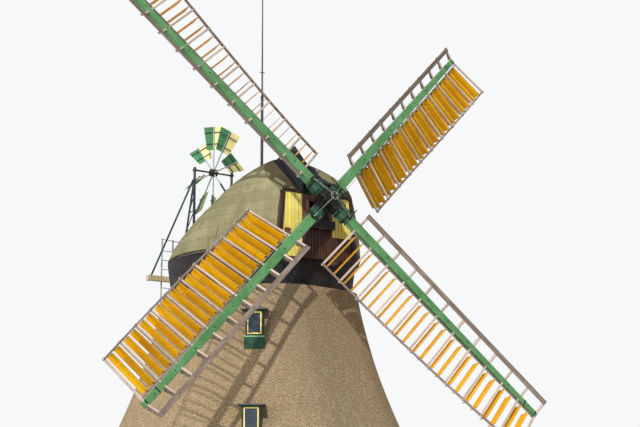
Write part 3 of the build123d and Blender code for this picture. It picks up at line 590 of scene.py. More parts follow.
VANE_GREEN = Paint("vane_green", (0.035, 0.16, 0.06), faded=(0.06, 0.22, 0.09))
VANE_YELLOW = Paint("vane_yellow", (0.78, 0.70, 0.30), wear=0.5)
BAR_WOOD = Timber("bar_wood", (0.46, 0.35, 0.27), grey=(0.60, 0.51, 0.44))
LEAD_WOOD = Timber("leading_wood", (0.16, 0.115, 0.088), grey=(0.24, 0.20, 0.165))
# painted shade: dark wood for the knees and the leading bars' bodies, standing for their shaded sides
KNEE_WOOD_PAINTED_SHADE = Timber("knee_wood_painted_shade", (0.13, 0.085, 0.06), grey=(0.22, 0.17, 0.135))
# painted shade: near-black timber for the eave rim, standing for the shade under the roof's overhang
PAINTED_SHADE_WOOD = Timber("eave_timber_painted_shade", (0.075, 0.055, 0.04), grey=(0.12, 0.105, 0.09))
LINING = Timber("roof_lining", (0.085, 0.055, 0.035), grey=(0.13, 0.105, 0.085))
DECK_WOOD = Timber("deck_wood", (0.24, 0.20, 0.16), grey=(0.36, 0.35, 0.33))
RAIL_WOOD = Timber("rail_wood", (0.20, 0.135, 0.105), grey=(0.31, 0.26, 0.235))
SHUTTER_YELLOW = Paint(
    "shutter_yellow", (1.0, 0.49, 0.002), sheen=0.04, wood=(0.7, 0.36, 0.04), wear=0.15, rough=0.6,
    faded=(1.0, 0.56, 0.006), stain=0.08, relief=0.0003,
)
# painted shade: the shutters' edge strips are dark brown, standing for the dark gaps between neighbouring
# shutters
SHUTTER_RIM_PAINTED_SHADE = Paint("shutter_rim", (0.27, 0.19, 0.12), wear=0.8)

FINISHES: dict[str, Finish] = {
    "brick": MORTAR,
    "thatch": THATCH,
    "plain_timber": FRAME_TIMBER,
    "green_paint": STOCK_GREEN,
    "white_paint": DOOR_WHITE,
    "glass": PANE,
    "lead_grey": DRIP_GREY,
    "roof_felt": ROOF_FELT,
    "felt_skirt": TAR,
    "yellow_paint": GABLE_YELLOW,
    "brown_paint": PLUM_BROWN,
    "iron": IRON,
    "flagpole_grey": POLE,
    "tail_timber": TAIL_GREEN,
    "cream_paint": VANE_YELLOW,
    "sail_lattice": BAR_WOOD,
    "sail_shutters": SHUTTER_YELLOW,
}


SHARP = math.radians(35)
GRAIN_SPREAD = 40.0


class Workpiece:
    """Mesh in the making. Each face carries grain coordinates in metres, a tone and a worn-edge mark."""

    def __init__(self, name: str, place: Matrix | None = None, seed: int = 1) -> None:
        """Starts an empty piece.

        Args:
            name: The piece's name.
            place: Frame that everything added is placed in.
            seed: Seed of its chance values.
        """
        self.name = name
        self.place = place or Matrix.Identity(4)
        self.chance = random.Random(seed)
        self.points: list[Vector] = []
        self.faces: list[tuple[int, ...]] = []
        self.grain: list[tuple[float, float]] = []
        self.tones: list[float] = []
        self.edges: list[float] = []
        self.smooth: list[bool] = []

    def face(
        self,
        corners: Sequence[int],
        grain: Sequence[tuple[float, float]],
        tone: float,
        edge: float = 0.0,
        smooth: bool = False,
    ) -> None:
        """Adds one face on points that are there already.

        Args:
            corners: The points' numbers, in order.
            grain: Grain coordinates of each corner.
            tone: The face's tone.
            edge: 1 on an edge that wears.
            smooth: Whether it is shaded smooth.
        """
        self.faces.append(tuple(corners))
        self.grain.extend(grain)
        self.tones.append(tone)
        self.edges.append(edge)
        self.smooth.append(smooth)

    def point(self, where: Vector) -> int:
        """Adds a point and returns its number."""
        self.points.append(self.place @ where)
        return len(self.points) - 1

    def board(
        self, place: Matrix, size: Sequence[float], chamfer: float = 0.004, tone: float | None = None
    ) -> None:
        """Adds a block with chamfered edges, its grain along its longest side.

        Args:
            place: Frame of the block's middle.
            size: Its three sides.
            chamfer: Width taken off at the edges.
            tone: Its tone from 0 to 1, by chance if left out.
        """
        tone = self.chance.random() if tone is None else tone
        shift = (self.chance.uniform(0, GRAIN_SPREAD), self.chance.uniform(0, GRAIN_SPREAD))
        half = [side / 2 for side in size]
        cut = min(chamfer, *(side * 0.45 for side in half))
        along = max(range(3), key=lambda axis: size[axis])
        cross, other = (axis for axis in range(3) if axis != along)
        numbers: dict[tuple[int, int, int, int], int] = {}
        local: dict[int, Vector] = {}
        for signs in CORNERS:
            for axis in range(3):
                where = Vector(
                    sign * (half[side] - (0.0 if side == axis else cut)) for side, sign in enumerate(signs)
                )
                number = self.point(place @ where)
                numbers[(*signs, axis)] = number
                local[number] = where

        def outward(corners: list[int]) -> list[int]:
            """The corners in the order that looks away from the block's middle."""
            first, second, third = (local[n] for n in corners[:3])
            return corners if (second - first).cross(third - first).dot(first) > 0 else corners[::-1]

        def laid(corners: Sequence[int], end: bool) -> list[tuple[float, float]]:
            """Grain coordinates of the corners.

            Args:
                corners: The points' numbers.
                end: Whether they lie on the block's end.

            Returns:
                A pair for each corner.
            """
            spots = [local[n] for n in corners]
            if end:
                return [(shift[0] + spot[cross], shift[1] + spot[other]) for spot in spots]
            return [(shift[0] + spot[along], shift[1] + spot[cross] + spot[other]) for spot in spots]

        for axis, sign, ring in BLOCK_SIDES:
            corners = [numbers[(*signs, axis)] for signs in ring]
            self.face(corners, laid(corners, axis == along), tone)
        for (first, start), (second, end) in BLOCK_EDGES:
            spots = ((first, start), (second, start), (second, end), (first, end))
            corners = outward([numbers[(*signs, axis)] for signs, axis in spots])
            self.face(corners, laid(corners, False), tone, 1.0)
        for signs in CORNERS:
            corners = outward([numbers[(*signs, axis)] for axis in range(3)])
            self.face(corners, laid(corners, False), tone, 1.0)

    def beam(
        self,
        start: Sequence[float],
        end: Sequence[float],
        width: float,
        depth: float,
        chamfer: float = 0.004,
        up: Sequence[float] = (0, 0, 1),
        tone: float | None = None,
    ) -> None:
        """Adds a bar between two points, its depth as near as can be along a given direction.

        Args:
            start: Middle of one end.
            end: Middle of the other end.
            width: Its size across.
            depth: Its size along the given direction.
            chamfer: Width taken off at the edges.
            up: The direction of its depth.
            tone: Its tone, by chance if left out.
        """
        first, last = Vector(start), Vector(end)
        along = (last - first).normalized()
        side = Vector(up).cross(along)
        side = side.normalized() if side.length > 1e-4 else along.orthogonal().normalized()
        rise = along.cross(side)
        turn = Matrix((along, side, rise)).transposed().to_4x4()
        middle = Matrix.Translation((first + last) / 2) @ turn
        self.board(middle, ((last - first).length, width, depth), chamfer, tone)

    def relief(self, place: Matrix, size: Sequence[float], chamfer: float, tone: float) -> None:
        """Adds a block that is seen from its +Z side only, such as a brick in its wall.

        Args:
            place: Frame of its front's middle.
            size: Width, height and depth.
            chamfer: Width taken off round the front.
            tone: Its tone.
        """
        shift = self.chance.uniform(0, GRAIN_SPREAD)
        wide, high, deep = size[0] / 2, size[1] / 2, size[2]
        signs = ((-1, -1), (1, -1), (1, 1), (-1, 1))
        rings = [
            [Vector((x * (wide - cut), y * (high - cut), level)) for x, y in signs]
            for cut, level in ((0.0, -deep), (0.0, -chamfer), (chamfer, 0.0))
        ]
        laid = [[(shift + where.x, shift + where.y + where.z) for where in ring] for ring in rings]
        self.banded(place, rings, laid, tone)

    def banded(
        self,
        place: Matrix,
        rings: Sequence[Sequence[Vector]],
        laid: Sequence[Sequence[tuple[float, float]]],
        tone: float,
    ) -> list[list[int]]:
        """Adds the sides and the chamfer between three rings, and the front inside the third.

        Args:
            place: Frame of the rings.
            rings: The rings' points, from the back to the front.
            laid: Their grain coordinates.
            tone: The faces' tone.

        Returns:
            The points' numbers, ring by ring.
        """
        numbers = [[self.point(place @ where) for where in ring] for ring in rings]
        count = len(rings[0])
        for low in (0, 1):
            for k in range(count):
                spots = ((low, k), (low, (k + 1) % count), (low + 1, (k + 1) % count), (low + 1, k))
                grain = [laid[ring][spot] for ring, spot in spots]
                self.face([numbers[ring][spot] for ring, spot in spots], grain, tone, float(low))
        self.face(numbers[2], laid[2], tone)
        return numbers

    def skin(
        self,
        rows: Sequence[Sequence[Vector]],
        tones: Sequence[float] | float = 0.5,
        smooth: bool = True,
        closed: bool = False,
        flip: bool = False,
        skip: Callable[[int, int], bool] | None = None,
        stretch: float = 1.0,
    ) -> list[list[int]]:
        """Adds a sheet through rows of points. Grain runs along the rows, then across them.

        Args:
            rows: The points, row by row, all rows the same length.
            tones: One tone, or one for each strip between rows.
            smooth: Whether it is shaded smooth.
            closed: Whether each row's last point joins its first.
            flip: Whether the faces look the other way.
            skip: Says which strips and columns are left open.
            stretch: Factor on the grain coordinates.

        Returns:
            The points' numbers, row by row.
        """
        numbers = [[self.point(where) for where in row] for row in rows]
        count = len(rows[0])
        spans = count if closed else count - 1
        longest = max(rows, key=lambda row: sum((row[k + 1] - row[k]).length for k in range(count - 1)))
        along = [0.0]
        for k in range(spans):
            along.append(along[-1] + (longest[(k + 1) % count] - longest[k]).length * stretch)
        across = [0.0]
        for low, high in zip(rows, rows[1:]):
            steps = [(high[k] - low[k]).length for k in range(0, count, max(1, count // 6))]
            across.append(across[-1] + sum(steps) / len(steps) * stretch)
        for r in range(len(rows) - 1):
            tone = tones if isinstance(tones, float) else tones[r % len(tones)]
            for k in range(spans):
                if skip and skip(r, k):
                    continue
                m = (k + 1) % count
                corners = [numbers[r][k], numbers[r][m], numbers[r + 1][m], numbers[r + 1][k]]
                start, end, low, high = along[k], along[k + 1], across[r], across[r + 1]
                laid = [(start, low), (end, low), (end, high), (start, high)]
                if flip:
                    corners.reverse()
                    laid.reverse()
                self.face(corners, laid, tone, 0.0, smooth)
        return numbers

    def tube(
        self,
        path: Sequence[Sequence[float]],
        radii: Sequence[float] | float,
        sides: int = 10,
        tone: float | None = None,
    ) -> None:
        """Adds a round bar along a path, with closed ends.

        Args:
            path: The points it runs through.
            radii: One radius, or one for each point.
            sides: How many sides it has.
            tone: Its tone, by chance if left out.
        """
        points = [Vector(where) for where in path]
        sizes = [radii] * len(points) if isinstance(radii, float) else list(radii)
        tone = self.chance.random() if tone is None else tone
        along = (points[-1] - points[0]).normalized()
        side = along.orthogonal().normalized()
        up = along.cross(side)
        rows = []
        for where, radius in zip(points, sizes):
            turn = [2 * math.pi * k / sides for k in range(sides)]
            rows.append([where + (side * math.cos(a) + up * math.sin(a)) * radius for a in turn])
        numbers = self.skin(rows, tone, True, True)
        for ring, row, back in ((numbers[0], rows[0], True), (numbers[-1], rows[-1], False)):
            corners = list(reversed(ring)) if back else list(ring)
            self.face(corners, [(self.chance.random(), self.chance.random())] * len(row), tone)

    def rod(
        self,
        place: Matrix,
        start: Sequence[float],
        end: Sequence[float],
        radii: Sequence[float] | float,
        sides: int = 10,
        tone: float | None = None,
    ) -> None:
        """Adds a straight round bar between two points of a frame."""
        self.tube([place @ Vector(start), place @ Vector(end)], radii, sides, tone)

    def slab(
        self, outline: Sequence[Sequence[float]], place: Matrix, depth: float, chamfer: float = 0.004
    ) -> None:
        """Adds a flat plate with a convex outline in its frame's XY plane, its front at +Z chamfered.

        Args:
            outline: Its corners, counterclockwise.
            place: Its frame.
            depth: Its thickness, towards +Z.
            chamfer: Width taken off round its front.
        """
        tone, shift = self.chance.random(), self.chance.uniform(0, GRAIN_SPREAD)
        flat = [Vector((x, y, 0.0)) for x, y in outline]
        middle = sum(flat, Vector()) / len(flat)
        rings = []
        for cut, level in ((0.0, 0.0), (0.0, depth - chamfer), (chamfer, depth)):
            ring = []
            for where in flat:
                reach = (where - middle).length
                ring.append(middle + (where - middle) * (1 - 1.4 * cut / reach) + Vector((0, 0, level)))
            rings.append(ring)
        laid = [[(shift + where.y, shift + where.x + where.z) for where in ring] for ring in rings]
        numbers = self.banded(place, rings, laid, tone)
        self.face(numbers[0][::-1], laid[0][::-1], tone)

    def finish(self, finish: Finish, slot: str, body: str, *nodes: str) -> bpy.types.Object:
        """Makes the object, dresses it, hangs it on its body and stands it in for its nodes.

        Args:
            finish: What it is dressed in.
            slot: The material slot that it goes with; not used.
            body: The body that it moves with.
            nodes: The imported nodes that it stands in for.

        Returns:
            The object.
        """
        mesh = bpy.data.meshes.new(self.name)
        mesh.from_pydata(self.points, [], self.faces)
        layer = mesh.uv_layers.new(name="grain")
        layer.data.foreach_set("uv", [value for pair in self.grain for value in pair])
        for name, values in (("tone", self.tones), ("edge", self.edges)):
            mesh.attributes.new(name, "FLOAT", "FACE").data.foreach_set("value", values)
        mesh.polygons.foreach_set("use_smooth", self.smooth)
        mesh.set_sharp_from_angle(angle=SHARP)
        mesh.materials.append(finish.material())
        mesh.validate()
        made = bpy.data.objects.new(self.name, mesh)
        bpy.context.scene.collection.objects.link(made)
        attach(made, body)
        if nodes:
            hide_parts(*nodes)
        log.info("%s: %d faces", self.name, len(self.faces))
        return made


def _block_layout() -> tuple[list[Signs], list[Side], list[Edge]]:
    """Corner signs, sides and edges of a chamfered block, wound to look outwards.

    Returns:
        The signs of the corners, the sides and the edges.
    """
    corners = [(x, y, z) for x in (-1, 1) for y in (-1, 1) for z in (-1, 1)]
    sides = []
    for axis in range(3):
        first, second = (axis + 1) % 3, (axis + 2) % 3
        for sign in (-1, 1):
            ring = []
            for a, b in ((-1, -1), (1, -1), (1, 1), (-1, 1)):
                signs = [0, 0, 0]
                signs[axis], signs[first], signs[second] = sign, a, b
                ring.append(tuple(signs))
            sides.append((axis, sign, ring if sign > 0 else ring[::-1]))
    edges = []
    for along in range(3):
        first, second = (along + 1) % 3, (along + 2) % 3
        for a in (-1, 1):
            for b in (-1, 1):
                low, high = [0, 0, 0], [0, 0, 0]
                low[along], high[along] = -1, 1
                low[first] = high[first] = a
                low[second] = high[second] = b
                edges.append(((tuple(low), first), (tuple(high), second)))
    return corners, sides, edges


CORNERS, BLOCK_SIDES, BLOCK_EDGES = _block_layout()


def at(x: float, y: float, z: float, turn: float = 0.0, axis: str = "Z") -> Matrix:
    """Frame at a place, turned by degrees about one of its axes."""
    return Matrix.Translation((x, y, z)) @ Matrix.Rotation(math.radians(turn), 4, axis)


def circle(radius: float, level: float, count: int) -> list[Vector]:
    """Points round the Z axis.

    Args:
        radius: Their distance from the axis.
        level: Their height.
        count: How many there are.

    Returns:
        The points.
    """
    turns = [2 * math.pi * k / count for k in range(count)]
    return [Vector((radius * math.cos(a), radius * math.sin(a), level)) for a in turns]


def mirrored(points: Sequence[Vector]) -> list[Vector]:
    """The points on the other side of the middle line, in reverse order."""
    return [Vector((-where.x, where.y, where.z)) for where in reversed(points)]


@dataclass(frozen=True)
class TowerForm:
    """The tower's flared octagon, shared by all that sits on it. Metres, with one face on the -Y side."""

    eave_apothem: float = 5.6
    eave_level: float = 2.2
    top_apothem: float = 3.4
    top_level: float = 8.45
    flare_radius: float = 19.3
    thatch: float = 0.38
    rounding: float = 1.045
    half_face: float = math.radians(22.5)

    def flare(self, level: float) -> float:
        """Apothem of the thatch's outer face at a level.

        Args:
            level: The height over the ground.

        Returns:
            The apothem there.
        """
        run, rise = self.eave_apothem - self.top_apothem, self.top_level - self.eave_level
        chord = math.hypot(run, rise)
        reach = math.sqrt(self.flare_radius**2 - (chord / 2) ** 2)
        centre = (self.eave_apothem + self.top_apothem) / 2 + reach * rise / chord
        height = (self.eave_level + self.top_level) / 2 + reach * run / chord
        return centre - math.sqrt(self.flare_radius**2 - (level - height) ** 2)

    @staticmethod
    def turned(face: int) -> Matrix:
        """Frame of a face by its number, counted from the one on the -Y side."""
        return Matrix.Rotation(math.radians(45 * face), 4, "Z")


@dataclass(frozen=True)
class Opening:
    """A window's or a doorway's hole in a wall: half its width, its foot and its head."""

    half: float
    foot: float
    head: float


@dataclass(frozen=True)
class BrickBase:
    """Brickwork in running bond on the eight walls, with upright bricks over the openings."""

    apothem: float = 4.9
    top: float = 2.79
    length: float = 0.21
    height: float = 0.052
    joint: float = 0.010
    relief: float = 0.006
    back: float = 0.002
    worn: float = 0.0028
    least: float = 0.035
    window: Opening = Opening(0.45, 0.9, 1.8)
    door: Opening = Opening(0.5, 0.1, 2.1)

    def wall(self, work: Workpiece, face: int, hole: Opening | None) -> None:
        """Lays the bricks of one wall.

        Args:
            work: The brickwork.
            face: The wall's number.
            hole: Its window or doorway.
        """
        half = self.apothem * math.tan(TowerForm.half_face)
        front = TowerForm.turned(face) @ at(0, -self.apothem - self.relief, 0, 90, "X")
        step = self.height + self.joint
        pitch = self.length + self.joint
        course = 0
        while (course + 1) * step <= self.top + 0.01:
            foot = course * step + self.joint / 2
            middle = foot + self.height / 2
            spans = [(-half, half)]
            if hole and foot + self.height > hole.foot - 0.005 and foot < hole.head + self.length:
                reach = hole.half + (self.joint if foot < hole.head else 0.06)
                spans = [(-half, -reach), (reach, half)]
            for low, high in spans:
                edge = -half - pitch * (0.5 if course % 2 else 0.02)
                while edge < high:
                    left, right = max(edge, low), min(edge + self.length, high)
                    if right - left > self.least:
                        slack = work.chance.uniform(-0.0012, 0.0012)
                        place = front @ at((left + right) / 2, middle, slack)
                        size = (right - left, self.height, self.relief + self.back)
                        work.relief(place, size, self.worn, work.chance.random())
                    edge += pitch
            course += 1
        if hole:
            self.arch(work, front, hole)
            self.reveals(work, face, hole)

    def arch(self, work: Workpiece, front: Matrix, hole: Opening) -> None:
        """Sets upright bricks over an opening.

        Args:
            work: The brickwork.
            front: The wall's frame.
            hole: The opening.
        """
        count = int((2 * hole.half + 0.12) / (self.height + self.joint))
        for k in range(count):
            across = (k - (count - 1) / 2) * (self.height + self.joint)
            place = front @ at(across, hole.head + self.length / 2 + 0.004, 0.001)
            size = (self.height, self.length - 0.008, self.relief + self.back)
            work.relief(place, size, self.worn, work.chance.random())

    def reveals(self, work: Workpiece, face: int, hole: Opening) -> None:
        """Lays the bricks' ends along both sides of an opening.

        Args:
            work: The brickwork.
            face: The wall's number.
            hole: The opening.
        """
        step = self.height + self.joint
        for course in range(int(hole.foot / step) + 1, int(hole.head / step)):
            for side in (-1, 1):
                middle = course * step + step / 2
                place = TowerForm.turned(face) @ at(side * (hole.half - 0.004), -self.apothem + 0.05, middle)
                place = place @ Matrix.Rotation(math.radians(-90 * side), 4, "Y")
                work.relief(place, (self.height, 0.1, 0.003), 0.002, work.chance.random())

    def build(self) -> None:
        """Builds the three pieces of brickwork over their mortar walls."""
        for name, faces, hole in (
            ("bricks_windows", (0, 4), self.window),
            ("bricks_doors", (2, 6), self.door),
            ("bricks_corners", (1, 3, 5, 7), None),
        ):
            work = Workpiece(name, seed=11)
            for face in faces:
                self.wall(work, face, hole)
            work.finish(BRICK, "brick", "tower")


SILLS = (3.54, 6.67)
WINDOW_WIDTH, WINDOW_HEIGHT = 0.58, 0.84


@dataclass(frozen=True)
class ThatchedSmock:
    """The thatched faces, as one soft skin with rounded corners and a thick trimmed eave."""

    form: TowerForm = TowerForm()
    sills: tuple[float, float] = SILLS
    window_half: float = WINDOW_WIDTH / 2
    window_height: float = WINDOW_HEIGHT
    softness: float = 0.16
    swell: float = 0.020
    level_step: float = 0.14
    column_step: float = 0.11
    plain_width: float = 4.3
    side_width: float = 1.6
    window_columns: int = 5
    inner_levels: tuple[float, ...] = (4.8, 5.7, 7.9)
    sides: str = "front front_right right back_right back back_left left front_left"

    def outer(self, x: float, level: float, turn: Matrix) -> Vector:
        """Point of the outer face, with soft corners and an uneven surface.

        Args:
            x: The place across the face.
            level: The height over the ground.
            turn: The face's frame.

        Returns:
            The point, in the face's frame.
        """
        apothem = self.form.flare(level)
        round_part = math.sqrt(max(0.0, (self.form.rounding * apothem) ** 2 - x * x))
        share = min(1.0, max(0.0, 0.5 + 0.5 * (round_part - apothem) / self.softness))
        depth = round_part * (1 - share) + apothem * share - self.softness * share * (1 - share) / 2
        world = turn @ Vector((x, -depth, level))
        slow = noise.noise(Vector((world.x * 1.1, world.y * 1.1, level * 0.7)))
        quick = noise.noise(Vector((world.x * 7.0, world.y * 7.0, level * 2.2)))
        sunk = self.swell * (0.55 + 0.35 * slow + 0.25 * quick)
        return Vector((x, -depth + sunk, level))

    def levels(self, windows: bool) -> list[float]:
        """Levels of the skin's rows, with rows at the windows' feet and heads.

        Args:
            windows: Whether the face has windows.

        Returns:
            The levels, from the eave up.
        """
        marks = [self.form.eave_level, self.form.top_level]
        if windows:
            marks += [level for sill in self.sills for level in (sill, sill + self.window_height)]
        marks.sort()
        rows = [marks[0]]
        for low, high in zip(marks, marks[1:]):
            count = max(1, round((high - low) / self.level_step))
            rows += [low + (high - low) * k / count for k in range(1, count + 1)]
        return rows

    def columns(self, level: float, windows: bool) -> list[float]:
        """Places of the skin's columns across a face at a level.

        Args:
            level: The row's level.
            windows: Whether the face has windows.

        Returns:
            The places, from left to right.
        """
        half = self.form.flare(level) * math.tan(self.form.half_face)
        if not windows:
            count = round(self.plain_width / self.column_step)
            return [half * (2 * k / count - 1) for k in range(count + 1)]
        sides = round(self.side_width / self.column_step)
        right = [self.window_half + (half - self.window_half) * k / sides for k in range(sides + 1)]
        count = self.window_columns
        middle = [self.window_half * (2 * k / count - 1) for k in range(1, count)]
        return [-x for x in reversed(right)] + middle + right

    def face(self, number: int) -> None:
        """Builds one face with its eave, top and inner side.

        Args:
            number: The face's number.
        """
        windows = number in (0, 4)
        turn = TowerForm.turned(number)
        side = self.sides.split()[number]
        work = Workpiece(f"reed_{side}", turn, seed=number)
        levels = self.levels(windows)
        rows = [[self.outer(x, level, turn) for x in self.columns(level, windows)] for level in levels]
        first = round(self.side_width / self.column_step)

        def open_cell(row: int, column: int) -> bool:
            """Whether a cell lies in a window.

            Args:
                row: The strip, from the eave.
                column: The cell's number in it, from the left.

            Returns:
                Whether it is left open.
            """
            middle = (levels[row] + levels[row + 1]) / 2
            inside = first <= column < first + self.window_columns
            return windows and inside and any(s < middle < s + self.window_height for s in self.sills)

        work.skin(rows, 0.5, skip=open_cell)
        self.rim(work, rows[0], self.form.eave_level, False)
        self.rim(work, rows[-1], self.form.top_level, True)
        self.inside(work, windows)
        work.finish(THATCH, "thatch", "tower", f"thatch_{side}")

    def rim(self, work: Workpiece, edge: Sequence[Vector], level: float, top: bool) -> None:
        """Closes the thatch between its outer and its inner side at the eave or at the top.

        Args:
            work: The face's thatch.
            edge: The outer side's last row.
            level: The row's level.
            top: Whether it is the upper rim.
        """
        back = -(self.form.flare(level) - self.form.thatch)
        half = -back * math.tan(self.form.half_face)
        widest = edge[-1].x
        inner = [Vector((where.x / widest * half, back, level)) for where in edge]
        inner = [Vector((min(half, max(-half, w.x)), w.y, w.z)) for w in inner]
        middle = [(a + b) / 2 + Vector((0, 0, 0.0 if top else 0.012)) for a, b in zip(edge, inner)]
        work.skin([list(edge), middle, inner], 0.35, flip=not top)

    def inside(self, work: Workpiece, windows: bool) -> None:
        """The inner side, open at the windows, and the windows' cut sides through the thatch.

        Args:
            work: The face's thatch.
            windows: Whether the face has windows.
        """
        marks = sorted(
            [self.form.eave_level, self.form.top_level, *self.inner_levels]
            + [level for sill in self.sills for level in (sill, sill + self.window_height)]
        )
        rows = []
        for level in marks:
            depth = self.form.flare(level) - self.form.thatch
            half = depth * math.tan(self.form.half_face)
            spots = (-half, -self.window_half, self.window_half, half)
            rows.append([Vector((x, -depth, level)) for x in spots])

        def open_cell(row: int, column: int) -> bool:
            """Whether a cell lies in a window."""
            return windows and column == 1 and marks[row] in self.sills

        work.skin(rows, 0.3, False, flip=True, skip=open_cell)
        if not windows:
            return
        for sill in self.sills:
            head = sill + self.window_height
            corners = ((-1, sill), (1, sill), (1, head), (-1, head))
            ring = [(side * self.window_half, level) for side, level in corners]
            near = [Vector((x, -self.form.flare(z), z)) for x, z in ring]
            far = [Vector((x, -(self.form.flare(z) - self.form.thatch), z)) for x, z in ring]
            work.skin([near, far], 0.3, False, closed=True)

    def build(self) -> None:
        """Builds all the faces."""
        for number in range(8):
            self.face(number)


@dataclass(frozen=True)
class Windows:
    """Windows in the thatch and in the base: deep casings, glazed sashes, aprons and drip boards."""

    form: TowerForm = TowerForm()
    sills: tuple[float, float] = SILLS
    width: float = WINDOW_WIDTH
    height: float = WINDOW_HEIGHT
    casing: float = 0.055
    apron_width: float = 0.67
    apron_height: float = 0.42
    apron_boards: int = 5
    board: float = 0.030
    drip_width: float = 0.87
    drip_depth: float = 0.045
    drip_reach: float = 0.12
    base_size: float = 0.9
    base_sill: float = 0.9
    base_apothem: float = 4.7
    base_depth: float = 0.2
    sash: float = 0.042
    base_sash: float = 0.045
    sash_depth: float = 0.034
    glazing: float = 0.022
    panes: int = 3
    gap: float = 0.004
    sash_set: float = 0.036
    base_sash_proud: float = 0.03
    bar_inset: float = 0.08
    ledge: tuple[float, float] = (0.008, 0.046)
    ledge_drop: float = 0.024
    nose: tuple[float, float, float] = (0.006, 0.02, 0.03)
    seat: float = 0.0003

    def front(self, sill: float) -> float:
        """Apothem of a window's front."""
        return self.form.flare(sill - self.apron_height) + self.seat

    def frame(
        self, work: Workpiece, width: float, height: float, member: float, depth: float, place: Matrix
    ) -> None:
        """Four boards around an opening. The frame's place is the middle of the opening.

        Args:
            work: The piece that the boards go to.
            width: The frame's width.
            height: The frame's height.
            member: The boards' width.
            depth: The boards' depth.
            place: The frame's middle.
        """
        for side in (-1, 1):
            post = at(side * (width - member) / 2, 0, 0)
            work.board(place @ post, (member, depth, height), 0.005)
            rail = at(0, 0, side * (height - member) / 2)
            work.board(place @ rail, (width - 2 * member, depth, member), 0.005)

    def bars(self, work: Workpiece, width: float, height: float, count: int, place: Matrix) -> None:
        """Level glazing bars that divide a sash.

        Args:
            work: The sashes.
            width: The bars' length.
            height: The glazed height.
            count: How many panes they part.
            place: The sash's middle.
        """
        for k in range(1, count):
            level = height * (k / count - 0.5)
            work.board(place @ at(0, 0.001, level), (width, self.glazing, self.glazing), 0.004)

    def thatch_window(self, turn: Matrix, sill: float, pieces: Mapping[str, Workpiece]) -> None:
        """One window in the thatch.

        Args:
            turn: The face's frame.
            sill: The level of its sill.
            pieces: The pieces by kind.
        """
        front = self.front(sill)
        head = sill + self.height
        back = self.form.flare(head) - self.form.thatch
        middle = turn @ at(0, -(front + back) / 2, sill + self.height / 2)
        self.frame(pieces["casings"], self.width, self.height, self.casing, front - back, middle)
        glass = (self.width - 2 * self.casing, self.height - 2 * self.casing)
        sash = turn @ at(0, self.sash_set - front, sill + self.height / 2)
        self.frame(pieces["sashes"], *glass, self.sash, self.sash_depth, sash)
        step = self.apron_width / self.apron_boards
        apron = turn @ at(-self.apron_width / 2, -front - self.board / 2, sill - self.apron_height / 2)
        for k in range(self.apron_boards):
            place = apron @ at((k + 0.5) * step, 0, 0)
            pieces["aprons"].board(place, (step - self.gap, self.board, self.apron_height), 0.004)
        proud, tall = self.ledge
        ledge = turn @ at(0, -front - (self.board + proud) / 2, sill - self.ledge_drop)
        pieces["ledges"].board(ledge, (self.apron_width, self.board + proud, tall), 0.006)
        near, far = front + self.drip_reach, self.form.flare(head) + self.seat
        drip = turn @ at(0, -(near + far) / 2, head + self.drip_depth / 2)
        pieces["drips"].board(drip, (self.drip_width, near - far, self.drip_depth), 0.008)
        wider, depth, tall = self.nose
        nose = turn @ at(0, depth / 2 - 0.002 - near, head + tall / 2 - 0.001)
        pieces["drips"].board(nose, (self.drip_width + wider, depth, tall), 0.006)

    def base_window(self, turn: Matrix, pieces: Mapping[str, Workpiece]) -> None:
        """One window in the brick base, with a mullion between two sashes.

        Args:
            turn: The face's frame.
            pieces: The pieces by kind.
        """
        middle = turn @ at(0, -self.base_apothem, self.base_sill + self.base_size / 2)
        self.frame(pieces["casings"], self.base_size, self.base_size, self.casing, self.base_depth, middle)
        glass = self.base_size - 2 * self.casing
        front = self.base_apothem + self.base_sash_proud
        sash = turn @ at(0, -front, self.base_sill + self.base_size / 2)
        for side in (-1, 1):
            half = sash @ at(side * glass / 4, 0, 0)
            self.frame(pieces["sashes"], glass / 2, glass, self.base_sash, self.sash_depth, half)
            clear = (glass / 2 - self.bar_inset, glass - self.bar_inset)
            self.bars(pieces["sashes"], *clear, self.panes, half)

    def build(self) -> None:
        """Builds the windows on both sides of the tower."""
        kinds = {
            "casings": (CASING_GREEN, "green_paint", ("window_frames",)),
            "sashes": (SASH_CREAM, "cream_paint", ()),
            "aprons": (APRON_GREEN, "green_paint", ("window_aprons",)),
            "ledges": (SILL_GREEN, "green_paint", ()),
            "drips": (DRIP_GREY, "lead_grey", ("window_lintels",)),
        }
        pieces = {kind: Workpiece(f"window_{kind}_made", seed=3) for kind in kinds}
        for face in (0, 4):
            turn = TowerForm.turned(face)
            self.base_window(turn, pieces)
            for sill in self.sills:
                self.thatch_window(turn, sill, pieces)
        for kind, (finish, slot, nodes) in kinds.items():
            pieces[kind].finish(finish, slot, "tower", *nodes)


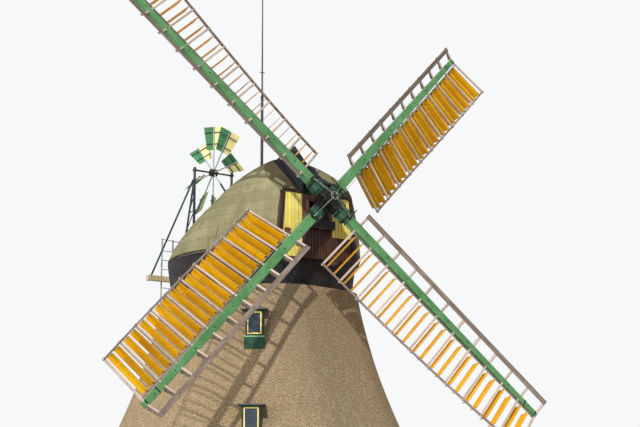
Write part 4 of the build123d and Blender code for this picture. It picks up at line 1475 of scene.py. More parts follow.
@dataclass(frozen=True)
class Doors:
    """Plank doors in the two side walls of the base."""

    apothem: float = 4.7
    width: float = 1.0
    height: float = 2.0
    foot: float = 0.1
    frame_width: float = 0.08
    frame_depth: float = 0.2
    plank: float = 0.03
    planks: int = 6
    ledges: tuple[float, ...] = (0.25, 0.95, 1.7)
    hinges: tuple[float, ...] = (0.28, 1.66)
    hinge_pin: float = 0.4
    latch: float = 0.32
    handle_level: float = 1.02
    gap: float = 0.004
    ledge: tuple[float, float] = (0.01, 0.14)
    strap: tuple[float, float] = (0.006, 0.045)
    strap_inset: float = 0.2
    pin: tuple[float, float] = (0.010, 0.05)
    plate: tuple[float, float, float] = (0.03, 0.012, 0.16)

    def build(self) -> None:
        """Builds frames, leaves and ironwork."""
        frames = Workpiece("door_frames_made", seed=5)
        leaves = Workpiece("door_planks", seed=6)
        irons = Workpiece("door_ironwork", seed=7)
        clear = self.width - 2 * self.frame_width
        tall = self.height - self.frame_width
        for face in (2, 6):
            front = TowerForm.turned(face) @ at(0, -self.apothem, self.foot)
            for side in (-1, 1):
                post = front @ at(side * (self.width - self.frame_width) / 2, 0, self.height / 2)
                frames.board(post, (self.frame_width, self.frame_depth, self.height), 0.006)
            head = front @ at(0, 0, self.height - self.frame_width / 2)
            frames.board(head, (clear, self.frame_depth, self.frame_width), 0.006)
            step = clear / self.planks
            for k in range(self.planks):
                plank = front @ at((k + 0.5) * step - clear / 2, 0.004, tall / 2)
                leaves.board(plank, (step - self.gap, self.plank, tall - 0.002), 0.004)
            for level in self.ledges:
                leaves.board(front @ at(0, 0.018, level), (clear - 0.02, *self.ledge), 0.003)
            for level in self.hinges:
                strap = (clear - self.strap_inset, *self.strap)
                irons.board(front @ at(-0.08, -0.0135, level), strap, 0.002)
                pin, (radius, half) = front @ at(-self.hinge_pin, -0.014, level), self.pin
                irons.rod(pin, (0, 0, -half), (0, 0, half), radius)
            irons.board(front @ at(self.latch, -0.016, 1.0), self.plate, 0.003)
            handle = front @ at(self.latch, 0, self.handle_level)
            grip = [(0, -0.014, 0), (0, -0.05, 0), (-0.08, -0.052, 0)]
            irons.tube([handle @ Vector(where) for where in grip], 0.008)
        frames.finish(DOOR_WHITE, "white_paint", "tower", "door_frames")
        leaves.finish(APRON_GREEN, "green_paint", "tower", "door_leaves")
        irons.finish(IRON, "iron", "tower")


CAP_TURN = math.radians(34)
CAP = Matrix.Rotation(CAP_TURN, 4, "Z")
FAN_STATION, FAN_LEVEL = 3.8, 13.97


@dataclass(frozen=True)
class RoofForm:
    """The boat-shaped roof in the cap's own frame, where the sails look along -Y."""

    eave: float = 9.6905
    front: float = -3.65
    widest: float = -0.3
    tail: float = 3.5
    ridge_start: float = 0.0
    ridge_height: float = 3.48
    front_half: float = 1.6
    widest_half: float = 3.4
    front_curve: float = 1.8
    front_fullness: float = 2.3
    tail_fullness: float = 1.25
    thickness: float = 0.12
    hip_level: float = 11.5
    hip_slope: float = math.radians(44)

    def half_width(self, station: float) -> float:
        """Half width at the eave.

        Args:
            station: The place along the cap.

        Returns:
            The half width.
        """
        if station < self.widest:
            share = (self.widest - station) / (self.widest - self.front)
            return self.widest_half - (self.widest_half - self.front_half) * share**self.front_curve
        share = min(1.0, (station - self.widest) / (self.tail - self.widest))
        return self.widest_half * math.sqrt(1 - share**2)

    def crest(self, station: float) -> float:
        """Height of the ridge over the eave."""
        share = min(1.0, max(0.0, (station - self.ridge_start) / (self.tail - self.ridge_start)))
        return self.ridge_height * math.sqrt(1 - share**2)

    def side(self, station: float, rise: float, inset: float = 0.0) -> float:
        """Half width at a rise over the eave.

        Args:
            station: The place along the cap.
            rise: The height over the eave.
            inset: Distance inside the outer face.

        Returns:
            The half width, 0 over the ridge.
        """
        share = min(1.0, max(0.0, (station - self.front) / (self.ridge_start - self.front)))
        power = self.front_fullness + (self.tail_fullness - self.front_fullness) * share
        crest = self.crest(station) - inset
        if crest <= 0.0 or rise >= crest:
            return 0.0
        return max(0.0, self.half_width(station) - inset) * (1 - (rise / crest) ** power) ** (1 / power)

    def front_station(self, rise: float, inset: float = 0.0) -> float:
        """Where the roof starts at a rise: at the gable, or on the front hip above it."""
        over = self.eave + rise - (self.hip_level - inset)
        return self.front + max(0.0, over) / math.tan(self.hip_slope)

    def back_station(self, rise: float, inset: float = 0.0) -> float:
        """Where the roof ends at a rise, on the tail's middle line.

        Args:
            rise: The height over the eave.
            inset: Distance inside the outer face.

        Returns:
            The place along the cap.
        """
        share = min(1.0, rise / (self.ridge_height - inset))
        reach = self.tail - inset - self.ridge_start
        return self.ridge_start + reach * math.sqrt(max(0.0, 1 - share**2))

    def ring(self, rise: float, steps: int, inset: float = 0.0) -> list[Vector]:
        """Points round the roof at a rise, from the front on the right to the front on the left.

        Args:
            rise: The height over the eave.
            steps: How many steps each side has.
            inset: Distance inside the outer face.

        Returns:
            The points.
        """
        start, end = self.front_station(rise, inset), self.back_station(rise, inset)
        right = []
        for k in range(steps + 1):
            station = start + (end - start) * math.sin(k / steps * math.pi / 2)
            across = self.side(min(station, self.tail - 1e-4), rise, inset) if k < steps else 0.0
            right.append(Vector((across, station, self.eave + rise)))
        return right + mirrored(right[:-1])


@dataclass(frozen=True)
class CapRoof:
    """The roof in lapped strips of felt that run level round the cap, with a ridge strip and a hip."""

    form: RoofForm = RoofForm()
    strip: float = 0.40
    lap: float = 0.010
    steps: int = 44
    rows_per_strip: int = 3
    top_rise: float = 3.46
    apron_half: float = 0.64
    apron_spread: float = 0.25

    def strips(self, work: Workpiece, seams: Workpiece) -> None:
        """Lays the strips. Each starts proud of the one below and ends flush under the next.

        Args:
            work: The felt.
            seams: The seams over its joints.
        """
        rise = 0.0
        number = 0
        while rise < self.top_rise - 0.02:
            high = min(rise + self.strip * (1.0 - 0.32 * rise / self.top_rise), self.top_rise)
            rows = []
            for k in range(self.rows_per_strip + 1):
                share = k / self.rows_per_strip
                level = rise + (high - rise) * share
                ring = self.form.ring(level, self.steps)
                rows.append([self.proud(where, self.lap * (1 - share)) for where in ring])
            # painted shade: each strip's lip gets a low tone, so the step under the lap reads as a dark line
            lip = [self.proud(where, 0.0) for where in self.form.ring(rise, self.steps)]
            work.skin([lip, rows[0]], 0.1, False)
            work.skin(rows, 0.25 + 0.5 * work.chance.random())
            self.joints(seams, rows, number)
            rise = high
            number += 1

    @staticmethod
    def proud(where: Vector, amount: float) -> Vector:
        """A point moved outwards from the cap's middle line."""
        out = Vector((where.x, max(0.0, where.y) * 0.8, 0.9)).normalized()
        return where + out * amount

    def joints(self, work: Workpiece, rows: Sequence[Sequence[Vector]], number: int) -> None:
        """Upright joints in one strip: narrow tarred seams.

        Args:
            work: The seams.
            rows: The strip's rows of points.
            number: The strip's number from the eave.
        """
        count = len(rows[0])
        for k in range(3 + number % 3, count - 3, 9):
            spot = k + work.chance.randrange(0, 6)
            if spot >= count - 2:
                continue
            path = [self.proud(row[spot], 0.001) for row in rows]
            if (path[-1] - path[0]).length > 0.15:
                work.beam(path[0], path[-1], 0.018, 0.012, 0.003, path[0] - Vector((0, 0, 9.0)), 0.2)

    def ridge(self, work: Workpiece) -> None:
        """Felt rolled over the ridge, from the hip down over the tail.

        Args:
            work: The felt.
        """
        path = []
        start = self.form.front_station(self.form.ridge_height) + 0.05
        for k in range(22):
            station = start + (self.form.tail - 0.35 - start) * k / 21
            path.append((0.0, station, self.form.eave + self.form.crest(station) - 0.028))
        work.tube(path, 0.05, 10, 0.3)

    def hip(self, felt: Workpiece, apron: Workpiece) -> None:
        """The sloping front over the gable, with a dark apron of felt along the hood's foot.

        Args:
            felt: The roof's felt, for the two sides.
            apron: The dark felt, for the middle.
        """
        sides: dict[int, list[list[Vector]]] = {-1: [], 0: [], 1: []}
        low = self.form.hip_level - self.form.eave
        for k in range(9):
            rise = low + (self.top_rise - low) * k / 8
            station = self.form.front_station(rise)
            half = self.form.side(station, rise)
            split = min(half, self.apron_half + self.apron_spread * k / 8)
            level = self.form.eave + rise
            sides[-1].append([Vector((x, station, level)) for x in (-half, -(half + split) / 2, -split)])
            sides[0].append([Vector((split * (j / 3 - 1), station, level)) for j in range(7)])
            sides[1].append([Vector((x, station, level)) for x in (split, (half + split) / 2, half)])
        for side, rows in sides.items():
            (felt if side else apron).skin(rows, 0.4, flip=False)

    def inside(self, work: Workpiece) -> None:
        """The boarded inner side, and the roof's edges at the eave and the front.

        Args:
            work: The lining.
        """
        rises = [0.0, 0.5, 1.0, 1.5, 2.0, 2.4, 2.8, 3.1, 3.3]
        inset = self.form.thickness
        rows = [self.form.ring(rise, self.steps // 2, inset) for rise in rises]
        work.skin(rows, 0.4, flip=True)
        outer = self.form.ring(0.0, self.steps // 2)
        work.skin([rows[0], outer], 0.2, False)
        for end in (0, -1):
            inner_edge, outer_edge = [], []
            for rise in (0.0, 0.4, 0.8, 1.1, 1.4, 1.6, 1.69):
                outer_edge.append(self.form.ring(rise, 4)[end])
                inner_edge.append(self.form.ring(rise, 4, inset)[end])
            work.skin([inner_edge, outer_edge], 0.2, False, flip=end == 0)

    def build(self) -> None:
        """Builds the felt and the timber under it."""
        felt = Workpiece("cap_felt", CAP, seed=21)
        seams = Workpiece("felt_seams", CAP, seed=29)
        self.strips(felt, seams)
        seams.finish(SEAM_FELT, "roof_felt", "cap")
        apron = Workpiece("hood_apron", CAP, seed=39)
        self.hip(felt, apron)
        apron.finish(HOOD_FELT, "roof_felt", "cap")
        self.ridge(felt)
        felt.finish(ROOF_FELT, "roof_felt", "cap", "cap_roof")
        lining = Workpiece("cap_lining", CAP, seed=22)
        self.inside(lining)
        lining.finish(LINING, "plain_timber", "cap")


@dataclass(frozen=True)
class StormHood:
    """The bonnet over the poll end, in dark felt over boards with seams."""

    front: float = -3.7
    peak: float = -2.22
    back: float = -0.15
    half: float = 0.62
    peak_half: float = 0.5
    back_half: float = 0.06
    foot: float = 11.5
    eave: float = 11.95
    shoulder: float = 12.7
    top: float = 13.58
    back_level: float = 13.18
    front_crown: float = 0.03
    back_crown: float = 0.04
    bulge: float = 0.02
    boards: int = 5
    back_boards: int = 7
    lining: float = 0.04

    def section(self, station: float, inset: float = 0.0) -> list[Vector]:
        """Points over the hood at a station, from the right foot over the crown to the left foot.

        Args:
            station: The place along the cap.
            inset: Distance inside the outer face.

        Returns:
            The points.
        """
        stops = (
            (self.front, self.half, self.eave, self.eave + self.front_crown),
            (self.peak, self.peak_half, self.shoulder, self.top),
            (self.back, self.back_half, self.back_level, self.back_level + self.back_crown),
        )
        near, far = (stops[0], stops[1]) if station < self.peak else (stops[1], stops[2])
        share = (station - near[0]) / (far[0] - near[0])
        half, shoulder, crown = (a + (b - a) * share for a, b in zip(near[1:], far[1:]))
        half, shoulder, crown = half - inset, shoulder - inset, crown - inset
        right = [Vector((half, station, self.foot)), Vector((half, station, shoulder))]
        for k in range(1, 5):
            way = k / 5
            bulge = self.bulge * math.sin(math.pi * way) * (crown - shoulder)
            level = shoulder + (crown - shoulder) * way + bulge
            right.append(Vector((half * (1 - way) + bulge, station, level)))
        return [*right, Vector((0, station, crown)), *mirrored(right)]

    def build(self) -> None:
        """Builds the hood with its seams and its front edge."""
        work = Workpiece("hood_felt_made", CAP, seed=23)
        fore, aft = (self.peak - self.front) / self.boards, (self.back - self.peak) / self.back_boards
        stations = [self.front + fore * k for k in range(self.boards)]
        stations += [self.peak + aft * k for k in range(self.back_boards + 1)]
        rows = [self.section(station) for station in stations]
        work.skin(rows, [0.3, 0.6, 0.45, 0.7], True, flip=True)
        inner = [self.section(station, self.lining) for station in stations]
        work.skin(inner, 0.3, False)
        work.skin([inner[0], rows[0]], 0.5, False, flip=True)
        for row in rows[1 : self.boards + 4]:
            for a, b in zip(row, row[1:]):
                if (b - a).length > 0.02 and a.z > self.foot + 0.01:
                    out = Vector(((a.x + b.x) / 2, 0, 0.6))
                    work.beam(a, b, 0.04, 0.012, 0.003, out, 0.35)
        crown = [row[len(row) // 2] for row in rows]
        work.tube(crown, 0.022, 8, 0.3)
        for shoulder in (1, -2):
            work.tube([rows[0][shoulder], rows[self.boards][shoulder]], 0.016, 8, 0.4)
        work.finish(HOOD_FELT, "brown_paint", "cap", "storm_hood")


@dataclass(frozen=True)
class CurbSkirt:
    """Upright tarred boards that hang from the eave over the curb."""

    foot: float = 8.47
    head: float = 9.6005
    foot_reach: float = 3.2
    head_reach: float = 3.36
    thickness: float = 0.03
    boards: int = 112
    hoops: tuple[tuple[float, float], ...] = ((8.6, 3.17), (9.45, 3.29))

    def build(self) -> None:
        """Hangs the boards, each slightly its own way, on two hoops."""
        work = Workpiece("skirt_boards_made", CAP, seed=24)
        for k in range(self.boards):
            turn = Matrix.Rotation(2 * math.pi * (k + 0.5) / self.boards, 4, "Z")
            chance = work.chance
            low = self.foot + chance.uniform(0.0, 0.014)
            foot = Vector((0, -self.foot_reach + self.thickness / 2 + chance.uniform(0, 0.006), low))
            head = Vector((0, -self.head_reach + self.thickness / 2, self.head))
            width = 2 * math.pi * self.foot_reach / self.boards - 0.005
            work.beam(turn @ foot, turn @ head, width, self.thickness, 0.004, turn @ Vector((0, -1, 0)))
        for level, reach in self.hoops:
            path = []
            for k in range(33):
                turn = 2 * math.pi * k / 32
                path.append(Vector((reach * math.sin(turn), -reach * math.cos(turn), level)))
            for a, b in zip(path, path[1:]):
                work.beam(a, b, 0.06, 0.03, 0.003, (a + b) / 2 - Vector((0, 0, level)))
        work.finish(TAR, "felt_skirt", "cap", "curb_skirt")


@dataclass(frozen=True)
class CapFront:
    """The boarded gable: upright boards on both sides, a brown middle, trim and the weather beam."""

    form: RoofForm = RoofForm()
    thickness: float = 0.04
    foot: float = 9.33
    foot_half: float = 1.479
    head_half: float = 1.31
    head: float = 11.497
    right_foot: float = 10.12
    middle_half: float = 0.6
    board: float = 0.126
    gap: float = 0.019
    hatch: tuple[float, float, float, float] = (-1.29, -1.03, 10.055, 10.265)
    beam_foot: float = 10.33
    beam_head: float = 10.63
    beam_reach: float = 0.2
    beam_depth: float = 0.36
    opening_half: float = 0.3103
    opening_head: float = 11.27
    trim: float = 0.11
    trim_depth: float = 0.035
    hood_half: float = 0.6203

    def roof_line(self, x: float) -> float:
        """Highest level that a board reaches under the roof.

        Args:
            x: The place across the front.

        Returns:
            The level.
        """
        rise = self.form.ridge_height - self.form.thickness
        reach = abs(x) / (self.form.front_half - self.form.thickness)
        if reach >= 1.0:
            return self.form.eave
        power = self.form.front_fullness
        return min(self.head, self.form.eave + rise * (1 - reach**power) ** (1 / power))

    def upright(
        self, work: Workpiece, left: float, right: float, low: float, high: float, slanted: bool
    ) -> None:
        """One upright board, its head cut to the roof's line where it is slanted.

        Args:
            work: The boarding.
            left: Its left edge.
            right: Its right edge.
            low: Its foot.
            high: Its head.
            slanted: Whether the roof cuts its head.
        """
        if high - low < 0.03:
            return
        tops = [min(high, self.roof_line(x)) if slanted else high for x in (left, right)]
        face = at(0, self.form.front + self.thickness, 0, 90, "X")
        outline = [(left, low), (right, low), (right, tops[1]), (left, tops[0])]
        slack = work.chance.uniform(-0.004, 0.0)
        work.slab(outline, face, self.thickness + slack, 0.004)

    def boards(
        self, work: Workpiece, low_x: float, high_x: float, low: float, high: float, slanted: bool
    ) -> None:
        """A run of upright boards between two places across the front.

        Args:
            work: The boarding.
            low_x: Where the run starts.
            high_x: Where it ends.
            low: The boards' feet.
            high: Their heads.
            slanted: Whether the roof cuts the heads.
        """
        count = max(1, round((high_x - low_x) / self.board))
        step = (high_x - low_x) / count
        for k in range(count):
            left, right = low_x + k * step + self.gap / 2, low_x + (k + 1) * step - self.gap / 2
            self.upright(work, left, right, low, high, slanted)

    def build(self) -> None:
        """Builds boards, trim and beam."""
        yellow = Workpiece("gable_boards_made", CAP, seed=25)
        hatch_left, hatch_right, hatch_low, hatch_high = self.hatch
        self.boards(yellow, -self.foot_half, hatch_left, self.foot, self.head, True)
        self.boards(yellow, hatch_left, hatch_right, self.foot, hatch_low, False)
        self.boards(yellow, hatch_left, hatch_right, hatch_high, self.head, True)
        self.boards(yellow, hatch_right, -self.middle_half, self.foot, self.head, True)
        self.boards(yellow, self.middle_half, self.foot_half, self.right_foot, self.head, True)
        yellow.finish(GABLE_YELLOW, "yellow_paint", "cap", "gable_boards")
        brown = Workpiece("front_panels_made", CAP, seed=26)
        half = self.middle_half - 0.0003
        # painted shade: the dark low panels in the middle stand in for the shaded opening under the poll end
        deep = Workpiece("low_panels_made", CAP, seed=30)
        self.boards(deep, -half, half, self.foot, self.beam_foot, False)
        self.boards(deep, self.middle_half, self.foot_half, self.foot, self.right_foot, True)
        deep.finish(DARK_BROWN_AND_SHADE, "brown_paint", "cap", "front_boarding", "gable_boards")
        self.boards(brown, -half, -self.opening_half, self.beam_head, self.opening_head, False)
        self.boards(brown, self.opening_half, half, self.beam_head, self.opening_head, False)
        self.boards(brown, -half, half, self.opening_head, self.head, False)
        hatch = at((hatch_left + hatch_right) / 2, self.form.front + 0.028, (hatch_low + hatch_high) / 2)
        door = (hatch_right - hatch_left - 0.012, 0.02, hatch_high - hatch_low - 0.006)
        brown.board(hatch, door, 0.004, 0.8)
        brown.finish(PLUM_BROWN, "brown_paint", "cap", "front_boarding")
        trim = Workpiece("gable_trim_made", CAP, seed=27)
        face = at(0, self.form.front, 0, 90, "X")
        hip, width, hood = self.form.hip_level, self.trim, self.hood_half
        for side in (-1, 1):
            foot, head = side * (self.foot_half - width / 3), side * (self.head_half - width / 3)
            low, high = (head, hip), (head + side * width, hip + width)
            leg = [(foot, self.foot), (foot + side * width, self.foot), high, low]
            cross = [low, high, (side * hood, hip + width), (side * hood, hip)]
            for outline in (leg, cross):
                trim.slab(outline if side > 0 else outline[::-1], face, self.trim_depth, 0.005)
        trim.finish(TRIM_BROWN, "brown_paint", "cap", "gable_trim")
        beam = Workpiece("weather_beam_made", CAP, seed=28)
        station = self.form.front - self.beam_reach + self.beam_depth / 2
        middle = at(0, station, (self.beam_foot + self.beam_head) / 2)
        beam.board(middle, (2 * half, self.beam_depth, self.beam_head - self.beam_foot), 0.018, 0.5)
        for side in (-1, 1):
            bolt = middle @ at(side * 0.48, -self.beam_depth / 2 + 0.004, 0)
            beam.rod(bolt, (0, 0, 0), (0, -0.022, 0), 0.028, 6)
        beam.finish(DARK_BEAM, "brown_paint", "cap", "weather_beam")


@dataclass(frozen=True)
class TailStage:
    """The stage behind the cap: crossbeam, deck boards, ladder, fan posts, struts and handrail."""

    sheer_top: float = 9.6005
    sheer_offset: float = 0.82
    beam_station: float = 4.6
    beam_reach: float = 2.35
    beam_size: float = 0.2
    deck_half: float = 0.77
    deck_start: float = 3.6
    deck_end: float = 5.25
    deck_thickness: float = 0.04
    deck_board: float = 0.14
    band: float = 0.012
    ladder_offset: float = 1.47
    ladder_width: float = 0.46
    ladder_rail: float = 0.05
    ladder_foot: float = 7.4
    ladder_head: float = 11.3
    rung_pitch: float = 0.36
    rung: float = 0.016
    fan_station: float = FAN_STATION
    fan_level: float = FAN_LEVEL
    post_offset: float = 0.82
    spread: float = 1.22
    post_bays: int = 6
    rear_drop: float = 0.25
    post_head: float = 0.12
    leg: float = 0.08
    rake: float = 0.06
    rail: float = 0.036
    brace: float = 0.030
    bolt: float = 0.013
    bolt_reach: Vector = Vector((0.048, 0, 0))
    box: tuple[float, float, float] = (0.12, 0.15, 0.11)
    handrail_share: float = 0.382
    handrail: float = 0.018
    strut_drop: float = 0.38
    strut_inset: float = 0.15
    strut_offset: float = 0.05

    def beam(self) -> None:
        """The crossbeam, with iron bands at its ends."""
        work = Workpiece("crossbeam_made", CAP, seed=31)
        middle = at(0, self.beam_station, self.sheer_top + self.beam_size / 2)
        work.board(middle, (2 * self.beam_reach, self.beam_size, self.beam_size), 0.012, 0.5)
        for side in (-1, 1):
            for reach in (self.beam_reach - 0.12, self.sheer_offset):
                band = self.beam_size + self.band
                work.board(middle @ at(side * reach, 0, 0), (0.05, band, band), 0.003, 0.1)
        work.finish(BEAM_PALE, "tail_timber", "cap", "tail_crossbeam")

    def deck(self) -> None:
        """Deck boards that run across."""
        work = Workpiece("deck_made", CAP, seed=32)
        near, far = self.beam_station - self.beam_size / 2, self.beam_station + self.beam_size / 2
        level = self.sheer_top + self.deck_thickness / 2
        for low, high in ((self.deck_start, near), (far, self.deck_end)):
            count = round((high - low) / self.deck_board)
            step = (high - low) / count
            for k in range(count):
                place = at(work.chance.uniform(-0.004, 0.004), low + (k + 0.5) * step, level)
                work.board(place, (2 * self.deck_half - 0.01, step - 0.006, self.deck_thickness), 0.005)
        work.finish(DECK_WOOD, "tail_timber", "cap", "tail_platform")

    def ladder(self) -> None:
        """Two rails and round rungs."""
        work = Workpiece("ladder_made", CAP, seed=33)
        station = self.beam_station + self.beam_size / 2 + self.ladder_rail / 2
        for side in (-1, 1):
            x, size = -self.ladder_offset + side * self.ladder_width / 2, self.ladder_rail
            foot, head = (x, station, self.ladder_foot), (x, station, self.ladder_head)
            work.beam(foot, head, size, size, 0.008, (0, 1, 0))
        rungs = int((self.ladder_head - self.ladder_foot) / self.rung_pitch)
        for k in range(rungs):
            level = self.ladder_foot + self.rung_pitch * (k + 0.5)
            ends = [(-self.ladder_offset + s * self.ladder_width / 2, station, level) for s in (-1, 1)]
            work.tube(ends, self.rung, 8)
        work.finish(TAIL_GREY, "tail_timber", "cap", "tail_ladder")

    def rear(self, side: int, share: float) -> Vector:
        """Point of the raking leg at a share of its height.

        Args:
            side: -1 on the left, 1 on the right.
            share: The share, 0 at its foot.

        Returns:
            The point.
        """
        rise = self.fan_level - self.rear_drop - self.sheer_top
        station = self.fan_station + self.spread * (1 - share)
        return Vector((side * self.post_offset, station, self.sheer_top + rise * share))

    def post(self, side: int, name: str) -> None:
        """One fan post: an upright leg, a raking leg and the lattice between them.

        Args:
            side: -1 on the left, 1 on the right.
            name: The post's node.
        """
        work = Workpiece(f"{name}_made", CAP, seed=34 + side)
        out = (1, 0, 0)
        foot = Vector((side * self.post_offset, self.fan_station, self.sheer_top))
        head = foot + Vector((0, 0, self.fan_level + self.post_head - self.sheer_top))
        work.beam(foot, head, self.leg, self.leg, 0.007, out, 0.5)
        work.beam(self.rear(side, 0.0), self.rear(side, 1.0), self.rake, self.rake, 0.006, out, 0.6)
        for k in range(1, self.post_bays):
            low, high = k / self.post_bays, (k + 1) / self.post_bays
            near = [Vector((foot.x, foot.y, self.rear(side, share).z)) for share in (low, high)]
            work.beam(near[0], self.rear(side, low), self.rail, self.rail, 0.004, out)
            if k < self.post_bays - 1:
                work.beam(self.rear(side, low), near[1], self.brace, self.brace, 0.004, out)
            for joint in (near[0], self.rear(side, low)):
                work.tube([joint - self.bolt_reach, joint + self.bolt_reach], self.bolt, 6)
        work.board(at(foot.x, foot.y, self.fan_level), self.box, 0.015, 0.2)
        work.finish(TAIL_GREEN, "tail_timber", "cap", name)

    def struts(self) -> None:
        """The two long struts from the crossbeam's ends, and the handrail by the ladder."""
        work = Workpiece("struts_made", CAP, seed=36)
        for side in (-1, 1):
            across = side * (self.post_offset + self.strut_offset)
            head = (across, self.fan_station, self.fan_level - self.strut_drop)
            level = self.sheer_top + self.beam_size - self.rake / 2
            foot = (side * (self.beam_reach - self.strut_inset), self.beam_station, level)
            work.beam(head, foot, self.rake, self.rake, 0.006, (0, 1, 0))
        work.finish(TAIL_GREEN, "tail_timber", "cap", "fan_struts")
        rail = Workpiece("handrail_made", CAP, seed=37)
        foot = self.rear(-1, self.handrail_share)
        head = (-self.ladder_offset - self.ladder_width / 2 - 0.05, self.beam_station + 0.125, foot.z + 0.11)
        rail.tube([head, foot], self.handrail, 8)
        rail.finish(TAIL_GREY, "tail_timber", "cap", "tail_handrail")

    def build(self) -> None:
        """Builds the whole stage."""
        self.beam()
        self.deck()
        self.ladder()
        self.post(-1, "fan_post_left")
        self.post(1, "fan_post_right")
        self.struts()


@dataclass(frozen=True)
class Flagpole:
    """The stepped pole on the ridge, with its cleat, its iron foot and a ball."""

    station: float = 0.05
    foot: float = 13.02
    step: float = 16.1
    cleat: float = 17.0
    top: float = 20.1
    foot_radius: float = 0.055
    radius: float = 0.032
    collar: float = 0.058
    ball: float = 0.08
    cleat_half: float = 0.11
    iron_foot: float = 13.16

    def build(self) -> None:
        """Builds the pole."""
        work = Workpiece("pole_made", CAP, seed=38)
        place = at(0, self.station, 0)
        foot, step, top = self.foot, self.step, self.top
        lower = [(0, self.station, level) for level in (foot, step - 0.05, step)]
        work.tube(lower, [self.foot_radius, 0.050, 0.036], 14, 0.4)
        work.rod(place, (0, 0, step - 0.09), (0, 0, step - 0.03), self.collar, 14, 0.1)
        work.rod(place, (0, 0, step), (0, 0, top - 0.06), [self.radius, 0.020], 12, 0.5)
        ball = [(0, self.station, top - self.ball + self.ball * k / 8) for k in range(9)]
        work.tube(ball, [max(0.004, 0.032 * math.sin(math.pi * k / 8)) for k in range(9)], 12, 0.6)
        ends = [(side * self.cleat_half, self.station, self.cleat) for side in (-1, 1)]
        work.beam(*ends, 0.03, 0.03, 0.006)
        work.rod(place, (0, 0, self.iron_foot), (0, 0, self.iron_foot + 0.08), [0.11, 0.07], 14, 0.2)
        work.finish(POLE, "flagpole_grey", "cap", "flagpole")


TILT = math.radians(14)
HUB_STATION, HUB_LEVEL = -4.09, 11.13
STOCK_SPACING = 0.28
STOCK_ROOT = (0.34, 0.25)
SAILS = CAP @ Matrix(
    (
        (1, 0, 0, 0),
        (0, math.sin(TILT), -math.cos(TILT), HUB_STATION),
        (0, math.cos(TILT), math.sin(TILT), HUB_LEVEL),
        (0, 0, 0, 1),
    )
)


class Arm(Enum):
    """The four sails: the stock's level over the inner one, the turn, the first bar and the bars."""

    UPPER_RIGHT = (0.0, 45, 2.11, 11)
    UPPER_LEFT = (STOCK_SPACING, 135, 1.32, 12)
    LOWER_LEFT = (0.0, 225, 2.11, 11)
    LOWER_RIGHT = (STOCK_SPACING, 315, 1.32, 12)

    @property
    def frame(self) -> Matrix:
        """Frame of the arm: +X runs out along the stock, -Y is the shutter side, +Z the front."""
        return SAILS @ at(0, 0, self.level, self.value[1])

    @property
    def level(self) -> float:
        """Level of the stock over the inner one."""
        return self.value[0]

    @property
    def first_bar(self) -> float:
        """Distance of the innermost bar from the hub."""
        return self.value[2]

    @property
    def bars(self) -> int:
        """How many bars the sail has."""
        return self.value[3]


